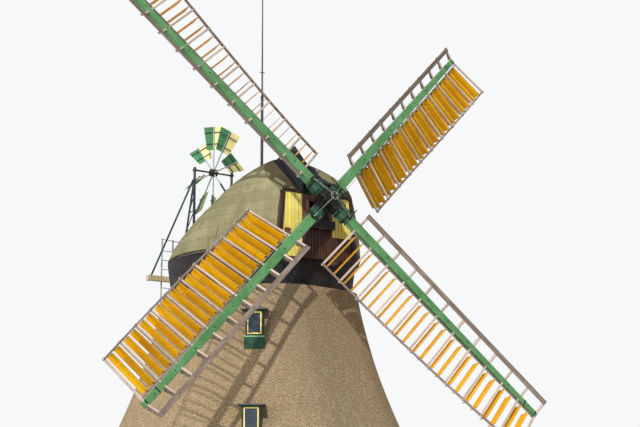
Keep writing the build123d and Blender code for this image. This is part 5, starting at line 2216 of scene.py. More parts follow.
@dataclass(frozen=True)
class Stocks:
    """The two long tapered stocks with bands, bolts and edge lines."""

    tip: float = 10.18
    straight: float = 1.0
    root: tuple[float, float] = STOCK_ROOT
    end: tuple[float, float] = (0.20, 0.16)
    chamfer: float = 0.018
    dark_root: float = 0.87
    places: tuple[tuple[str, float, float], ...] = (
        ("inner_stock", 0.0, 45),
        ("outer_stock", STOCK_SPACING, 135),
    )
    bands: tuple[float, float] = (0.10, 0.62)
    bolts: int = 9
    first_bolt: float = 1.72

    def size(self, reach: float) -> tuple[float, float]:
        """Width and depth, which taper beyond the straight root.

        Args:
            reach: The distance from the hub.

        Returns:
            The two sizes.
        """
        share = min(1.0, max(0.0, (abs(reach) - self.straight) / (self.tip - self.straight)))
        width, depth = (a + (b - a) * share for a, b in zip(self.root, self.end))
        return width, depth

    def ring(self, reach: float, inset: float = 0.0) -> list[Vector]:
        """Chamfered outline of the stock at a distance from the hub.

        Args:
            reach: The distance from the hub.
            inset: Distance inside the faces.

        Returns:
            Its eight points.
        """
        half_width, half_depth = (side / 2 - inset for side in self.size(reach))
        level, across = half_width - self.chamfer, half_depth - self.chamfer
        half = [(-level, half_depth), (level, half_depth), (half_width, across), (half_width, -across)]
        return [Vector((reach, y, z)) for y, z in half + [(-y, -z) for y, z in half]]

    def build(self) -> None:
        """Builds both stocks and their ironwork."""
        irons = Workpiece("stock_irons", SAILS, seed=42)
        for name, level, turn in self.places:
            place = at(0, 0, level, turn)
            work = Workpiece(f"{name}_made", SAILS @ place, seed=41)
            root = Workpiece(f"{name}_root", SAILS @ place, seed=41)
            self.shell(work, root)
            root.finish(HUB_GREEN, "green_paint", "sails", name)
            work.finish(STOCK_GREEN, "green_paint", "sails", name)
            self.irons(irons, place)
        irons.finish(IRON, "iron", "sails")

    def shell(self, work: Workpiece, root: Workpiece) -> None:
        """One stock's eight long sides in two colours, and its ends.

        Args:
            work: The light green part.
            root: The dark part at the hub.
        """
        stops = [-self.tip, -self.tip + 0.012, -6.0, -3.5, -self.straight, -self.dark_root, 0.0]
        stops += [-reach for reach in reversed(stops[:-1])]
        rings = [self.ring(reach, 0.012 if abs(reach) == self.tip else 0.0) for reach in stops]
        numbers = {part: [[part.point(where) for where in ring] for ring in rings] for part in (work, root)}
        sides = len(rings[0])
        girth = rings[stops.index(-self.dark_root)]
        steps = [(girth[(k + 1) % sides] - girth[k]).length for k in range(sides)]
        wrap = [sum(steps[:k]) for k in range(sides + 1)]
        for low in range(len(stops) - 1):
            near_stop, far_stop = stops[low], stops[low + 1]
            part = root if abs(near_stop + far_stop) < 2 * self.dark_root else work
            near, far = numbers[part][low], numbers[part][low + 1]
            for k in range(sides):
                m = (k + 1) % sides
                corners = (near[m], far[m], far[k], near[k])
                start, end = wrap[k], wrap[k + 1]
                laid = ((near_stop, end), (far_stop, end), (far_stop, start), (near_stop, start))
                part.face(corners, laid, 0.5, 1.0 if k % 2 else 0.0)
        for ring, row in ((numbers[work][0], rings[0]), (numbers[work][-1][::-1], rings[-1][::-1])):
            work.face(ring, [(where.y, where.z) for where in row], 0.1)

    def irons(self, work: Workpiece, place: Matrix) -> None:
        """Bands near the tips and bolts through the stock at every second bar.

        Args:
            work: The ironwork.
            place: The stock's frame.
        """
        for side in (-1, 1):
            for band in self.bands:
                reach = self.tip - band
                width, depth = self.size(reach)
                work.board(place @ at(side * reach, 0, 0), (0.045, width + 0.012, depth + 0.012), 0.003, 0.3)
            for k in range(self.bolts):
                reach = self.first_bolt + k
                head = place @ at(side * reach, 0, self.size(reach)[1] / 2)
                work.rod(head, (0, 0, -0.002), (0, 0, 0.014), 0.021, 6, 0.3)


@dataclass(frozen=True)
class Hub:
    """The iron poll end, the clamps on the stocks and the striking gear in front."""

    radius: float = 0.30
    shaft_radius: float = 0.22
    shaft_length: float = 4.8336
    journal_radius: float = 0.12
    journal_length: float = 0.60
    back: float = -0.2
    front: float = 0.49
    mortise_reach: float = 0.42
    mortise_wall: float = 0.06
    root: tuple[float, float] = STOCK_ROOT
    waist: float = 0.275
    lip: float = 0.016
    sleeve_start: float = 0.2
    sides: int = 40
    shaft_sides: int = 64
    nuts: int = 8
    nut_circle: float = 0.2
    nut_foot: float = -0.004
    nut_size: float = 0.022
    cheek: float = 0.45
    cheek_thickness: float = 0.06
    straps: tuple[float, float] = (0.2, 0.85)
    strap: float = 0.05
    strap_thickness: float = 0.018
    bolt: float = 0.016
    bolt_reach: float = 0.04
    nut: float = 0.027
    ring: float = 0.135
    ring_bar: float = 0.0145
    ring_level: float = 0.64
    gear_bar: float = 0.022
    crank_reach: float = 0.905
    crank_rise: float = 0.036
    crank_arm: tuple[float, float] = (0.21, 0.09)
    axle_half: float = 0.45
    lug: float = 0.055
    rod_drop: float = 0.0332

    def poll(self) -> None:
        """The cast poll end: a ribbed barrel with two sleeves for the stocks."""
        work = Workpiece("poll_cast", SAILS, seed=43)
        profile = (
            (self.back, 0.27),
            (self.back, self.radius),
            (self.back + 0.05, self.radius),
            (self.back + 0.06, self.waist),
            (0.42, self.waist),
            (0.43, self.radius),
            (self.front - 0.012, self.radius),
            (self.front, self.radius - 0.012),
            (self.front, 0.07),
        )
        work.skin([circle(radius, level, self.sides) for level, radius in profile], 0.4, True, True)
        for k in range(self.nuts):
            spot = at(0, 0, self.front, 360 * (k + 0.5) / self.nuts) @ at(self.nut_circle, 0, 0)
            work.rod(spot, (0, 0, self.nut_foot), (0, 0, self.nut_size), self.nut_size, 6, 0.6)
        for _, level, turn in Stocks().places:
            place = at(0, 0, level, turn)
            width, depth = (side + 2 * self.mortise_wall for side in self.root)
            for side in (-1, 1):
                sleeve = (self.mortise_reach - self.sleeve_start, width, depth)
                reach = side * (self.mortise_reach + self.sleeve_start) / 2
                work.board(place @ at(reach, 0, 0), sleeve, 0.02, 0.35)
                lip = place @ at(side * (self.mortise_reach - 0.02), 0, 0)
                work.board(lip, (0.04, width + self.lip, depth + self.lip), 0.006, 0.2)
        work.finish(IRON, "iron", "sails", "poll_end")

    def shaft(self) -> None:
        """The wind shaft: a banded barrel behind the poll end, with a turned journal at its tail."""
        work = Workpiece("shaft_turned", SAILS, seed=48)
        radius, journal = self.shaft_radius - 0.0008, self.journal_radius - 0.0015
        shoulder = self.journal_length - self.shaft_length
        profile = (
            (self.back, 0.06),
            (self.back, radius),
            (shoulder + 0.02, radius),
            (shoulder, radius - 0.02),
            (shoulder, journal),
            (0.012 - self.shaft_length, journal),
            (-self.shaft_length, journal - 0.012),
            (-self.shaft_length, 0.02),
        )
        rows = [circle(reach, level, self.shaft_sides) for level, reach in profile]
        work.skin(rows, 0.45, True, True, flip=True)
        work.finish(IRON, "iron", "sails", "wind_shaft")

    def clamps(self) -> None:
        """Cheeks of timber beside the stocks, held by bolted straps."""
        cheeks = Workpiece("clamp_cheeks", seed=44)
        irons = Workpiece("clamp_straps", seed=45)
        width, depth = self.root
        half = width / 2 + self.cheek_thickness
        outer = self.strap_thickness
        for arm in Arm:
            for side in (-1, 1):
                across = side * (width + self.cheek_thickness) / 2
                middle = arm.frame @ at(self.mortise_reach + self.cheek / 2, across, 0)
                cheeks.board(middle, (self.cheek, self.cheek_thickness, depth), 0.012)
                wedge = arm.frame @ at(self.mortise_reach + 0.05, side * 0.09, depth / 2 + 0.012)
                cheeks.board(wedge, (0.16, 0.07, 0.03), 0.006)
            for share in self.straps:
                place = arm.frame @ at(self.mortise_reach + self.cheek * share, 0, 0)
                for up in (-1, 1):
                    flat = place @ at(0, 0, up * (depth + outer) / 2)
                    irons.board(flat, (self.strap, 2 * (half + outer), outer), 0.004, 0.3)
                for side in (-1, 1):
                    edge = place @ at(0, side * (half + outer / 2), 0)
                    irons.board(edge, (self.strap, outer, depth), 0.004, 0.3)
                    bolt, reach = place @ at(0, side * half, 0), depth / 2 + self.bolt_reach
                    irons.rod(bolt, (0, 0, -reach), (0, 0, reach), self.bolt, 8, 0.5)
                    for up in (-1, 1):
                        low, high = (up * (depth / 2 + 0.018 + k) for k in (0, 0.016))
                        irons.rod(bolt, (0, 0, low), (0, 0, high), self.nut, 6, 0.8)
        cheeks.finish(HUB_GREEN, "green_paint", "sails", "stock_clamps")
        irons.finish(IRON, "iron", "sails")

    def gear(self, lattice: "Lattice") -> None:
        """The striking gear: ring and arms, links, cranks on the stocks and their cross axles.

        Args:
            lattice: The sails, for their rods' place.
        """
        pale = Workpiece("striking_gear_made", seed=46)
        dark = Workpiece("crank_brackets", seed=47)
        ring = [SAILS @ where for where in circle(self.ring, self.ring_level, 48)]
        for a, b in zip(ring, ring[1:] + ring[:1]):
            pale.tube([a, b], self.ring_bar, 8, 0.6)
        dark.rod(SAILS, (0, 0, self.front), (0, 0, self.ring_level + 0.028), [0.062, 0.05], 16, 0.4)
        dark.rod(SAILS, (0, 0, self.ring_level + 0.015), (0, 0, self.ring_level + 0.05), 0.034, 6, 0.8)
        for arm in Arm:
            self.crank(arm, lattice, pale, dark)
        pale.finish(PALE_IRON, "iron", "sails", "striking_gear")
        dark.finish(IRON, "iron", "sails")

    def crank(self, arm: Arm, lattice: "Lattice", pale: Workpiece, dark: Workpiece) -> None:
        """One arm's link from the ring, its crank and axle, and the rod down to the shutter rod.

        Args:
            arm: The sail's arm.
            lattice: The sails, for their rods' place.
            pale: The painted parts.
            dark: The iron parts.
        """
        frame = arm.frame
        face = self.root[1] / 2
        axle = face + self.crank_rise
        level = self.ring_level - arm.level
        front, side = (frame.to_3x3() @ Vector(way) for way in ((0, 0, 1), (0, 1, 0)))
        spoke = [frame @ Vector((reach, 0, level)) for reach in (0.04, 0.15)]
        pale.beam(*spoke, 0.034, 0.024, 0.006, front)
        back, rise = self.crank_arm
        hand = frame @ Vector((self.crank_reach - back, 0, axle + rise))
        pale.beam(frame @ Vector((self.ring, 0, level)), hand, self.gear_bar, self.gear_bar, 0.006, front)
        pivot = frame @ Vector((self.crank_reach, 0, axle))
        pale.beam(pivot, hand, 0.045, 0.02, 0.006, front)
        dark.tube([pivot - side * self.axle_half, pivot + side * self.axle_half], 0.017, 10, 0.5)
        for pin in (hand, pivot):
            dark.tube([pin - side * 0.03, pin + side * 0.03], 0.02, 8, 0.8)
        for lug in (-self.lug, self.lug):
            dark.board(frame @ at(self.crank_reach, lug, face + 0.026), (0.085, 0.022, 0.052), 0.006, 0.4)
        dark.board(frame @ at(self.crank_reach, 0, face + 0.006), (0.10, 0.15, 0.012), 0.004, 0.4)
        across = -lattice.inner_rail(self.crank_reach)
        start = lattice.on_bar(arm, self.crank_reach, across, lattice.rod_rise)
        normal = lattice.on_bar(arm, self.crank_reach, across, 1.0) - start
        climb = (axle - self.rod_drop) / math.cos(math.radians(lattice.weather(self.crank_reach)))
        dark.beam(start, start + normal.normalized() * climb, 0.03, 0.016, 0.004, side)

    def build(self, lattice: "Lattice") -> None:
        """Builds shaft, poll end, clamps and gear.

        Args:
            lattice: The sails, for their rods' place.
        """
        self.poll()
        self.shaft()
        self.clamps()
        self.gear(lattice)


@dataclass(frozen=True)
class Lattice:
    """The sails' bars, rails, leading boards, shutters and rods."""

    stocks: Stocks = Stocks()
    first_bar: float = 1.32
    bays: int = 11
    bay: float = 0.8
    root_width: float = 1.83
    tip_width: float = 1.74
    root_weather: float = 22.5
    tip_weather: float = -3.0
    weather_power: float = 1.6
    bar: tuple[float, float] = (0.07, 0.06)
    setback: float = 0.005
    overhang: float = 0.06
    hem_size: tuple[float, float] = (0.06, 0.075)
    inner_gap: float = 0.07
    inner_size: tuple[float, float] = (0.04, 0.05)
    lead_lean: float = 20.0
    lead_reach: float = 0.62
    lead_board: tuple[float, float] = (0.17, 0.028)
    lead_face: float = 0.022
    bar_root: float = 0.03
    knee: float = 0.044
    shares: tuple[float, float] = (0.21, 0.63)
    shutter_height: float = 0.4
    shutter_front: float = 0.1
    shutter_thickness: float = 0.014
    shutter_inset: float = 0.012
    shutter_rim: float = 0.016
    shutter_pin: float = 0.008
    shutter_gap: float = 0.004
    shutter_play: float = 0.25
    ribs: tuple[float, float] = (-0.25, 0.25)
    rib: float = 0.03
    ear: tuple[float, float, float] = (0.020, 0.022, 0.10)
    ear_place: tuple[float, float] = (0.035, 0.02)
    nail: float = 0.011
    hem_nail: float = 0.012
    nail_height: float = 0.006
    nail_rise: float = 0.0565
    lead_nails: tuple[float, float] = (0.05, 0.12)
    knee_drop: float = 0.12
    knee_toe: float = 0.03
    link: tuple[float, float] = (0.02, 0.006)
    rod: float = 0.016
    rod_rise: float = 0.0392

    def along(self, reach: float) -> float:
        """Share of the way from the innermost bar to the outermost."""
        return min(1.0, max(0.0, (reach - self.first_bar) / (self.bay * self.bays)))

    def weather(self, reach: float) -> float:
        """Lean of the bars in degrees on the shutter side.

        Args:
            reach: The distance from the hub.

        Returns:
            The lean.
        """
        share = self.along(reach) ** self.weather_power
        return self.root_weather + (self.tip_weather - self.root_weather) * share

    def hem(self, reach: float) -> float:
        """Distance of the hem rail's middle from the stock's middle."""
        return self.root_width + (self.tip_width - self.root_width) * self.along(reach) - self.overhang

    def inner_rail(self, reach: float) -> float:
        """Distance of the inner rail's middle from the stock's middle."""
        return self.stocks.size(reach)[0] / 2 + self.inner_gap

    def bar_frame(self, arm: Arm, reach: float, lean: float) -> Matrix:
        """Frame of a bar where it leaves the stock's middle line."""
        level = self.stocks.size(reach)[1] / 2 - self.setback - self.bar[1] / 2
        return arm.frame @ at(reach, 0, level, lean, "X")

    def on_bar(self, arm: Arm, reach: float, across: float, rise: float, leading: bool = False) -> Vector:
        """Place on a bar, or between bars, by its distance from the stock and its rise."""
        lean = self.lead_lean if leading else self.weather(reach)
        return self.bar_frame(arm, reach, lean) @ Vector((0, across, rise))

    def places(self, arm: Arm) -> list[float]:
        """Distances of the arm's bars from the hub."""
        return [arm.first_bar + self.bay * k for k in range(arm.bars)]

    def pins(self, arm: Arm) -> list[float]:
        """Distances of the arm's shutter pins from the hub."""
        return [first + self.bay * share for first in self.places(arm)[:-1] for share in self.shares]

    def rail(
        self,
        work: Workpiece,
        arm: Arm,
        across: Callable[[float], float],
        rise: float,
        size: Sequence[float],
        leading: bool,
    ) -> None:
        """One rail across the bars, in lengths that follow the twist.

        Args:
            work: The rails.
            arm: The sail's arm.
            across: Says how far it lies from the stock.
            rise: Its level over the bars' middle.
            size: Its width and depth.
            leading: Whether it is on the leading side.
        """
        width, depth = size
        stops = self.places(arm)
        stops[0] -= self.bar[0] / 2
        stops[-1] += self.bar[0] / 2
        front = arm.frame.to_3x3()
        tone = work.chance.random()
        for low, high in zip(stops, stops[1:]):
            lean = math.radians(self.lead_lean if leading else self.weather((low + high) / 2))
            up = front @ Vector((0, -math.sin(lean), math.cos(lean)))
            start = self.on_bar(arm, low, across(low), rise, leading)
            end = self.on_bar(arm, high, across(high), rise, leading)
            work.beam(start, end, width, depth, 0.005, up, tone * 0.6 + 0.4 * work.chance.random())

    def bars(self, arm: Arm, wood: Workpiece, knees: Workpiece, irons: Workpiece) -> None:
        """The bars on both sides of the stock, with knees on the leading side and nails.

        Args:
            arm: The sail's arm.
            wood: The bars.
            knees: The dark parts under them, their dark wood painted shade.
            irons: The nails.
        """
        width, depth = self.bar
        face, root = self.lead_face, self.bar_root
        for reach in self.places(arm):
            span = self.hem(reach) + self.overhang
            edge = self.stocks.size(reach)[0] / 2
            driving = self.bar_frame(arm, reach, self.weather(reach))
            middle = driving @ at(0, -(span + edge - root) / 2, 0)
            wood.board(middle, (width, span - edge + root, depth), 0.006)
            leading = self.bar_frame(arm, reach, self.lead_lean)
            length = self.lead_reach - edge + root
            across = edge - root + length / 2
            wood.board(leading @ at(0, across, (depth - face) / 2), (width, length, face), 0.006)
            # painted shade: below its pale front face the leading bar goes in the dark knee wood, standing
            # for its shaded sides
            knees.board(leading @ at(0, across, -face / 2), (width - 0.006, length, depth - face), 0.004)
            for inset in self.lead_nails:
                head = leading @ at(0, self.lead_reach - inset, self.nail_rise)
                irons.rod(head, (0, 0, 0), (0, 0, self.nail_height), self.nail, 6, 0.2)
            # the knee's dark wood is painted shade as well
            toe, drop = self.knee_toe, self.knee_drop
            knee = [
                (self.lead_reach - toe, 0.0),
                (self.lead_reach - 2 * toe, -toe),
                (edge + 0.10, 0.025 - drop),
                (edge, -drop),
                (edge, 0.0),
            ]
            flat = Matrix(((0, 0, 1, self.knee / 2), (1, 0, 0, 0), (0, 1, 0, -depth / 2), (0, 0, 0, 1)))
            knees.slab(knee, leading @ flat, self.knee, 0.006)
            head = driving @ at(0, -self.hem(reach), depth / 2 + 0.007)
            irons.rod(head, (0, 0, 0), (0, 0, self.nail_height), self.hem_nail, 6, 0.2)

    def shutters(self, arm: Arm, boards: Workpiece, edges: Workpiece, irons: Workpiece) -> None:
        """The open shutters of one sail with their edge strips, ribs and pins.

        Args:
            arm: The sail's arm.
            boards: The shutters' boards.
            edges: Their edge strips.
            irons: Their pins.
        """
        thick, rim, height = self.shutter_thickness, self.shutter_rim, self.shutter_height
        low = self.shutter_front - height
        middle = (self.shutter_front + low) / 2
        for reach in self.pins(arm):
            start = self.inner_rail(reach) + self.inner_size[0] / 2
            length = self.hem(reach) - self.hem_size[0] / 2 - self.shutter_gap - start
            play = boards.chance.uniform(-self.shutter_play, self.shutter_play)
            frame = self.bar_frame(arm, reach, self.weather(reach) + play)
            wide = length - 2 * self.shutter_inset
            across = -start - length / 2
            panel = frame @ at(0, across, middle)
            boards.board(panel, (thick - 0.004, wide - 0.01, height - 0.02), 0.002)
            # painted shade: these edge strips take a dark brown that stands for the gaps between shutters
            for level in (self.shutter_front - rim / 2, low + rim / 2):
                edges.board(frame @ at(0, across, level), (thick, wide, rim), 0.003)
            for side in (-1, 1):
                end = frame @ at(0, across + side * (wide / 2 - rim / 2), middle)
                edges.board(end, (thick, rim, height - 2 * rim), 0.003)
            for shift in self.ribs:
                rib = frame @ at(0.001, across + shift * wide, middle)
                boards.board(rib, (thick + 0.002, self.rib, height - 0.05), 0.003)
            irons.rod(frame, (0, -start, 0), (0, -start - length, 0), self.shutter_pin, 8, 0.4)
            along, rise = self.ear_place
            ear = frame @ at(0.002, -start - self.shutter_inset - along, rise)
            irons.board(ear, self.ear, 0.003, 0.4)

    def crank_arms(self, arm: Arm, irons: Workpiece) -> None:
        """Small arms that join each shutter's pin to the rod beside the stock.

        Args:
            arm: The sail's arm.
            irons: The pins.
        """
        for reach in self.pins(arm):
            start = self.inner_rail(reach) + 0.026
            pin = self.on_bar(arm, reach, -start, 0.0)
            end = self.on_bar(arm, reach + 0.03, -start, self.rod_rise + 0.004)
            irons.beam(pin, end, *self.link, 0.001)

    def rods(self, arm: Arm, crank_reach: float, irons: Workpiece) -> None:
        """The rod that works the shutters, in front of the inner rail.

        Args:
            arm: The sail's arm.
            crank_reach: Where the crank stands.
            irons: The rods.
        """
        stops = [crank_reach, *self.places(arm)]
        path = [self.on_bar(arm, reach, -self.inner_rail(reach), self.rod_rise) for reach in stops]
        for low, high in zip(path, path[1:]):
            irons.tube([low, high], self.rod / 2, 8, 0.5)

    def build(self, hub: Hub) -> None:
        """Builds all four sails.

        Args:
            hub: The hub, for its cranks' place.
        """
        edges = Workpiece("shutter_edges", seed=51)
        pins = Workpiece("shutter_pins", seed=52)
        nails = Workpiece("bar_irons", seed=53)
        rods = Workpiece("shutter_rods_made", seed=54)
        leads = Workpiece("leading_boards", seed=55)
        rails = Workpiece("sail_rails", seed=56)
        knees = Workpiece("leading_knees", seed=57)
        lead_middle = self.lead_reach - self.lead_board[0] / 2
        lead_rise = (self.bar[1] + self.lead_board[1]) / 2 - 0.002
        for number, arm in enumerate(Arm):
            name = arm.name.lower()
            wood = Workpiece(f"sail_bars_{name}", seed=60 + number)
            boards = Workpiece(f"shutter_boards_{name}", seed=70 + number)
            self.bars(arm, wood, knees, nails)
            self.rail(rails, arm, lambda reach: -self.hem(reach), 0.0, self.hem_size, False)
            self.rail(rails, arm, lambda reach: -self.inner_rail(reach), 0.0, self.inner_size, False)
            self.rail(leads, arm, lambda reach: lead_middle, lead_rise, self.lead_board, True)
            self.shutters(arm, boards, edges, pins)
            self.crank_arms(arm, pins)
            self.rods(arm, hub.crank_reach, rods)
            wood.finish(BAR_WOOD, "sail_lattice", "sails", f"sail_{name}")
            boards.finish(SHUTTER_YELLOW, "sail_shutters", "sails", f"shutters_{name}")
        rails.finish(RAIL_WOOD, "sail_lattice", "sails")
        knees.finish(KNEE_WOOD_PAINTED_SHADE, "sail_lattice", "sails")
        leads.finish(LEAD_WOOD, "sail_lattice", "sails")
        edges.finish(SHUTTER_RIM_PAINTED_SHADE, "cream_paint", "sails")
        pins.finish(IRON, "iron", "sails")
        nails.finish(IRON, "iron", "sails")
        rods.finish(PALE_IRON, "iron", "sails", "shutter_rods")


@dataclass(frozen=True)
class Fantail:
    """The fan: eight pitched vanes on spokes, half green and half yellow, on a carved hub."""

    station: float = FAN_STATION
    level: float = FAN_LEVEL
    outer: float = 1.9
    inner: float = 0.95
    blades: int = 8
    pitch: float = math.radians(45)
    outer_width: float = 0.86
    inner_width: float = 0.58
    vane: float = 0.014
    spoke: float = 0.046
    hub: float = 0.15
    hub_length: float = 0.26
    axle: float = 0.035
    axle_half: float = 0.9
    battens: tuple[float, float] = (0.25, 0.75)
    disc: tuple[float, float] = (0.12, 0.10)
    boss: float = 0.055
    bolt_circle: float = 0.085

    def blade_frame(self, number: int) -> Matrix:
        """Frame of one blade: +Y runs out along the spoke, +Z is the vane's front.

        Args:
            number: The blade's number.

        Returns:
            Its frame.
        """
        flat = Vector((math.cos(self.pitch), -math.sin(self.pitch), 0))
        front = Vector((-math.sin(self.pitch), -math.cos(self.pitch), 0))
        turn = Matrix((flat, front.cross(flat), front)).transposed().to_4x4()
        return Matrix.Rotation(2 * math.pi * number / self.blades, 4, "X") @ turn

    def blade(self, frame: Matrix, works: Mapping[str, Workpiece]) -> None:
        """One spoke with the vane's two green and two yellow boards, and its battens.

        Args:
            frame: The blade's frame.
            works: The fan's pieces by kind.
        """
        middle = frame @ at(0, (self.outer + self.hub) / 2, 0)
        works["spokes"].board(middle, (self.spoke, self.outer - self.hub, self.spoke), 0.006)
        back = frame @ at(0, 0, -self.spoke / 2 - self.vane)
        for side, kind in ((-1, "green"), (1, "yellow")):
            inner, outer, gap = side * self.inner_width / 2, side * self.outer_width / 2, side * 0.002
            for low, high in ((0.0, 0.5), (0.5, 1.0)):
                outline = [
                    (inner * low, self.inner),
                    (inner * high - gap, self.inner),
                    (outer * high - gap, self.outer),
                    (outer * low, self.outer),
                ]
                works[kind].slab(outline[::side], back, self.vane, 0.002)
        for share in self.battens:
            reach = self.inner + share * (self.outer - self.inner)
            width = self.inner_width + share * (self.outer_width - self.inner_width)
            works["battens"].board(frame @ at(0, reach, 0.0), (width, 0.03, self.spoke - 0.002), 0.004)

    def build(self) -> None:
        """Builds hub, spokes and vanes."""
        place = CAP @ at(0, self.station, self.level)
        works = {
            "spokes": Workpiece("fan_spokes_made", place, seed=81),
            "green": Workpiece("vanes_green", place, seed=82),
            "yellow": Workpiece("vanes_yellow", place, seed=83),
            "battens": Workpiece("vane_battens", place, seed=84),
            "hub": Workpiece("fan_rosette", place, seed=85),
        }
        for number in range(self.blades):
            self.blade(self.blade_frame(number), works)
        hub, half = works["hub"], self.hub_length / 2
        hub.tube([(-half, 0, 0), (half, 0, 0)], self.hub, 16, 0.5)
        for side in (-1, 1):
            face = side * half
            hub.tube([(face - side * 0.02, 0, 0), (face + side * 0.012, 0, 0)], self.disc, 16, 0.7)
            hub.tube([(face, 0, 0), (face + side * 0.05, 0, 0)], self.boss, 8, 0.2)
            for k in range(self.blades):
                turn = 2 * math.pi * (k + 0.5) / self.blades
                spot = Vector((face, self.bolt_circle * math.cos(turn), self.bolt_circle * math.sin(turn)))
                hub.tube([spot, spot + Vector((side * 0.022, 0, 0))], 0.014, 6, 0.3)
        hub.tube([(-self.axle_half, 0, 0), (self.axle_half, 0, 0)], self.axle, 14, 0.4)
        works["spokes"].finish(TAIL_GREY, "tail_timber", "fan", "fan_spokes")
        works["green"].finish(VANE_GREEN, "green_paint", "fan", "fan_vanes_green")
        works["yellow"].finish(VANE_YELLOW, "cream_paint", "fan", "fan_vanes_yellow")
        works["battens"].finish(TAIL_GREEN, "tail_timber", "fan")
        works["hub"].finish(RUSTY_IRON, "tail_timber", "fan", "fan_hub")


@dataclass(frozen=True)
class Photograph:
    """The camera that took the picture, in the tower's frame."""

    position: Vector = Vector((2.5403, -41.6215, 2.0233))
    heading: float = math.radians(-0.61)
    pitch: float = math.radians(12.92)
    roll: float = math.radians(-0.35)
    focal_pixels: float = 1177.0
    image_width: int = 640
    sensor_width: float = 36.0

    def camera(self) -> bpy.types.Object:
        """Makes the camera and makes it the scene's.

        Returns:
            The camera.
        """
        data = bpy.data.cameras.new("photo_camera")
        data.sensor_width = self.sensor_width
        data.lens = self.focal_pixels / self.image_width * self.sensor_width
        data.clip_end = 500.0
        camera = bpy.data.objects.new("photo_camera", data)
        turn = (
            Matrix.Rotation(-self.heading, 4, "Z")
            @ Matrix.Rotation(math.pi / 2 + self.pitch, 4, "X")
            @ Matrix.Rotation(self.roll, 4, "Z")
        )
        camera.matrix_world = Matrix.Translation(self.position) @ turn
        bpy.context.scene.collection.objects.link(camera)
        bpy.context.scene.camera = camera
        return camera


LAMP_COLOUR = (1.0, 0.96, 0.9)


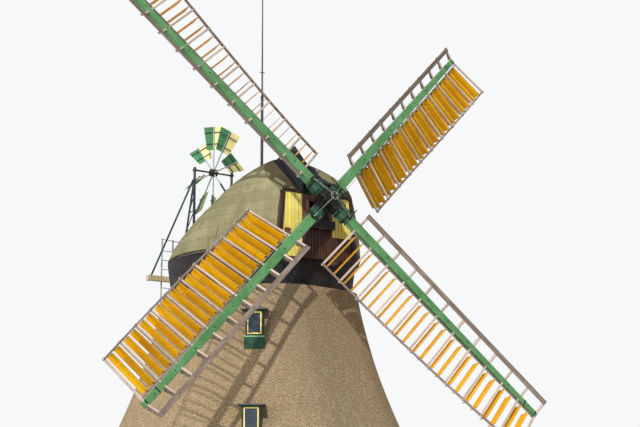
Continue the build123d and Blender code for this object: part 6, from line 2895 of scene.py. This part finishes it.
@dataclass(frozen=True)
class Studio:
    """Pale floor, pale backdrop and a key and a soft fill light from beside the camera."""

    floor_size: float = 400.0
    floor_colour: Colour = (0.8, 0.8, 0.79)
    key_azimuth: float = math.radians(7.0)
    key_elevation: float = math.radians(35.0)
    key_strength: float = 2.9
    key_softness: float = math.radians(1.8)
    sky_strength: float = 0.38
    fill_azimuth: float = math.radians(46.0)
    fill_elevation: float = math.radians(5.0)
    fill_strength: float = 2.1
    fill_softness: float = math.radians(25.0)
    sky: Colour = (0.86, 0.92, 1.0)
    backdrop: Colour = (0.93, 0.94, 0.95)

    def floor(self) -> bpy.types.Object:
        """A plain pale floor that takes the mill's shadow.

        Returns:
            The floor.
        """
        half = self.floor_size / 2
        mesh = bpy.data.meshes.new("floor")
        corners = [(-half, -half, 0), (half, -half, 0), (half, half, 0), (-half, half, 0)]
        mesh.from_pydata(corners, [], [(0, 1, 2, 3)])
        floor = bpy.data.objects.new("floor", mesh)
        bpy.context.scene.collection.objects.link(floor)
        made = bpy.data.materials.new("floor_pale")
        made.use_nodes = True
        shader = made.node_tree.nodes["Principled BSDF"]
        shader.inputs["Base Color"].default_value = (*self.floor_colour, 1)
        shader.inputs["Roughness"].default_value = 0.9
        mesh.materials.append(made)
        return floor

    @staticmethod
    def lamp(
        name: str, azimuth: float, elevation: float, strength: float, softness: float
    ) -> bpy.types.Object:
        """One far-off lamp.

        Args:
            name: The lamp's name.
            azimuth: How far to the left of the front it stands.
            elevation: Its height over the floor, as an angle.
            strength: Its irradiance.
            softness: The angle that it fills, seen from the mill.

        Returns:
            The lamp, linked to the scene.
        """
        data = bpy.data.lights.new(name, "SUN")
        data.energy = strength
        data.angle = softness
        data.color = LAMP_COLOUR
        light = bpy.data.objects.new(name, data)
        level = math.cos(elevation)
        travel = Vector((math.sin(azimuth) * level, math.cos(azimuth) * level, -math.sin(elevation)))
        light.rotation_mode = "QUATERNION"
        light.rotation_quaternion = travel.to_track_quat("-Z", "Y")
        bpy.context.scene.collection.objects.link(light)
        return light

    def world(self) -> bpy.types.World:
        """Even light all round, and a pale backdrop that the camera, gloss and glass see.

        Returns:
            The world.
        """
        world = bpy.data.worlds.new("studio")
        world.use_nodes = True
        tree = world.node_tree
        tree.nodes.clear()
        rays = ("Is Camera Ray", "Is Glossy Ray", "Is Transmission Ray")
        seen, glossy, through = (add_node(tree, "ShaderNodeLightPath", {}, ray) for ray in rays)
        shown = (seen + glossy + through).ramp(0.0, 1.0)
        sky = {"Color": (*self.sky, 1.0), "Strength": self.sky_strength}
        ambient = add_node(tree, "ShaderNodeBackground", sky)
        pale = add_node(tree, "ShaderNodeBackground", {"Color": (*self.backdrop, 1.0), "Strength": 1.0})
        mixed = add_node(tree, "ShaderNodeMixShader", {0: shown, 1: ambient, 2: pale})
        out = tree.nodes.new("ShaderNodeOutputWorld")
        tree.links.new(mixed.socket, out.inputs["Surface"])
        bpy.context.scene.world = world
        return world

    def build(self) -> None:
        """Sets up floor, light and world."""
        self.floor()
        self.lamp("key", self.key_azimuth, self.key_elevation, self.key_strength, self.key_softness)
        self.lamp("fill", self.fill_azimuth, self.fill_elevation, self.fill_strength, self.fill_softness)
        self.world()
        bpy.context.scene.view_settings.view_transform = "Standard"


def dress_nodes(frame: Mapping[str, Any]) -> None:
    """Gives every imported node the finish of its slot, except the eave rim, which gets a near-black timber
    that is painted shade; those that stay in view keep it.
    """
    slots = {entry["node"]: entry["material_slot"] for entry in frame["record"]["subparts"]}
    for name, node in frame["nodes"].items():
        slot = slots[name]
        # painted shade: the eave rim goes in near-black timber for the shade under the roof
        finish = PAINTED_SHADE_WOOD if name == "eave_rim" else FINISHES[slot]
        finish = replace(finish, name=f"{finish.name}_whole", layout=Layout.WHOLE)
        node.data.materials.clear()
        node.data.materials.append(finish.material())


def main() -> None:
    """Loads the frame and builds the mill over it, piece by piece."""
    logging.basicConfig(level=logging.INFO, format="%(message)s")
    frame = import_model()
    Studio().build()
    Photograph().camera()
    dress_nodes(frame)
    hub, lattice = Hub(), Lattice()
    for part in (BrickBase(), ThatchedSmock(), Windows(), Doors()):
        part.build()
    for part in (CapRoof(), StormHood(), CurbSkirt(), CapFront(), TailStage(), Flagpole()):
        part.build()
    Stocks().build()
    hub.build(lattice)
    lattice.build(hub)
    Fantail().build()


if __name__ == "__main__":
    main()
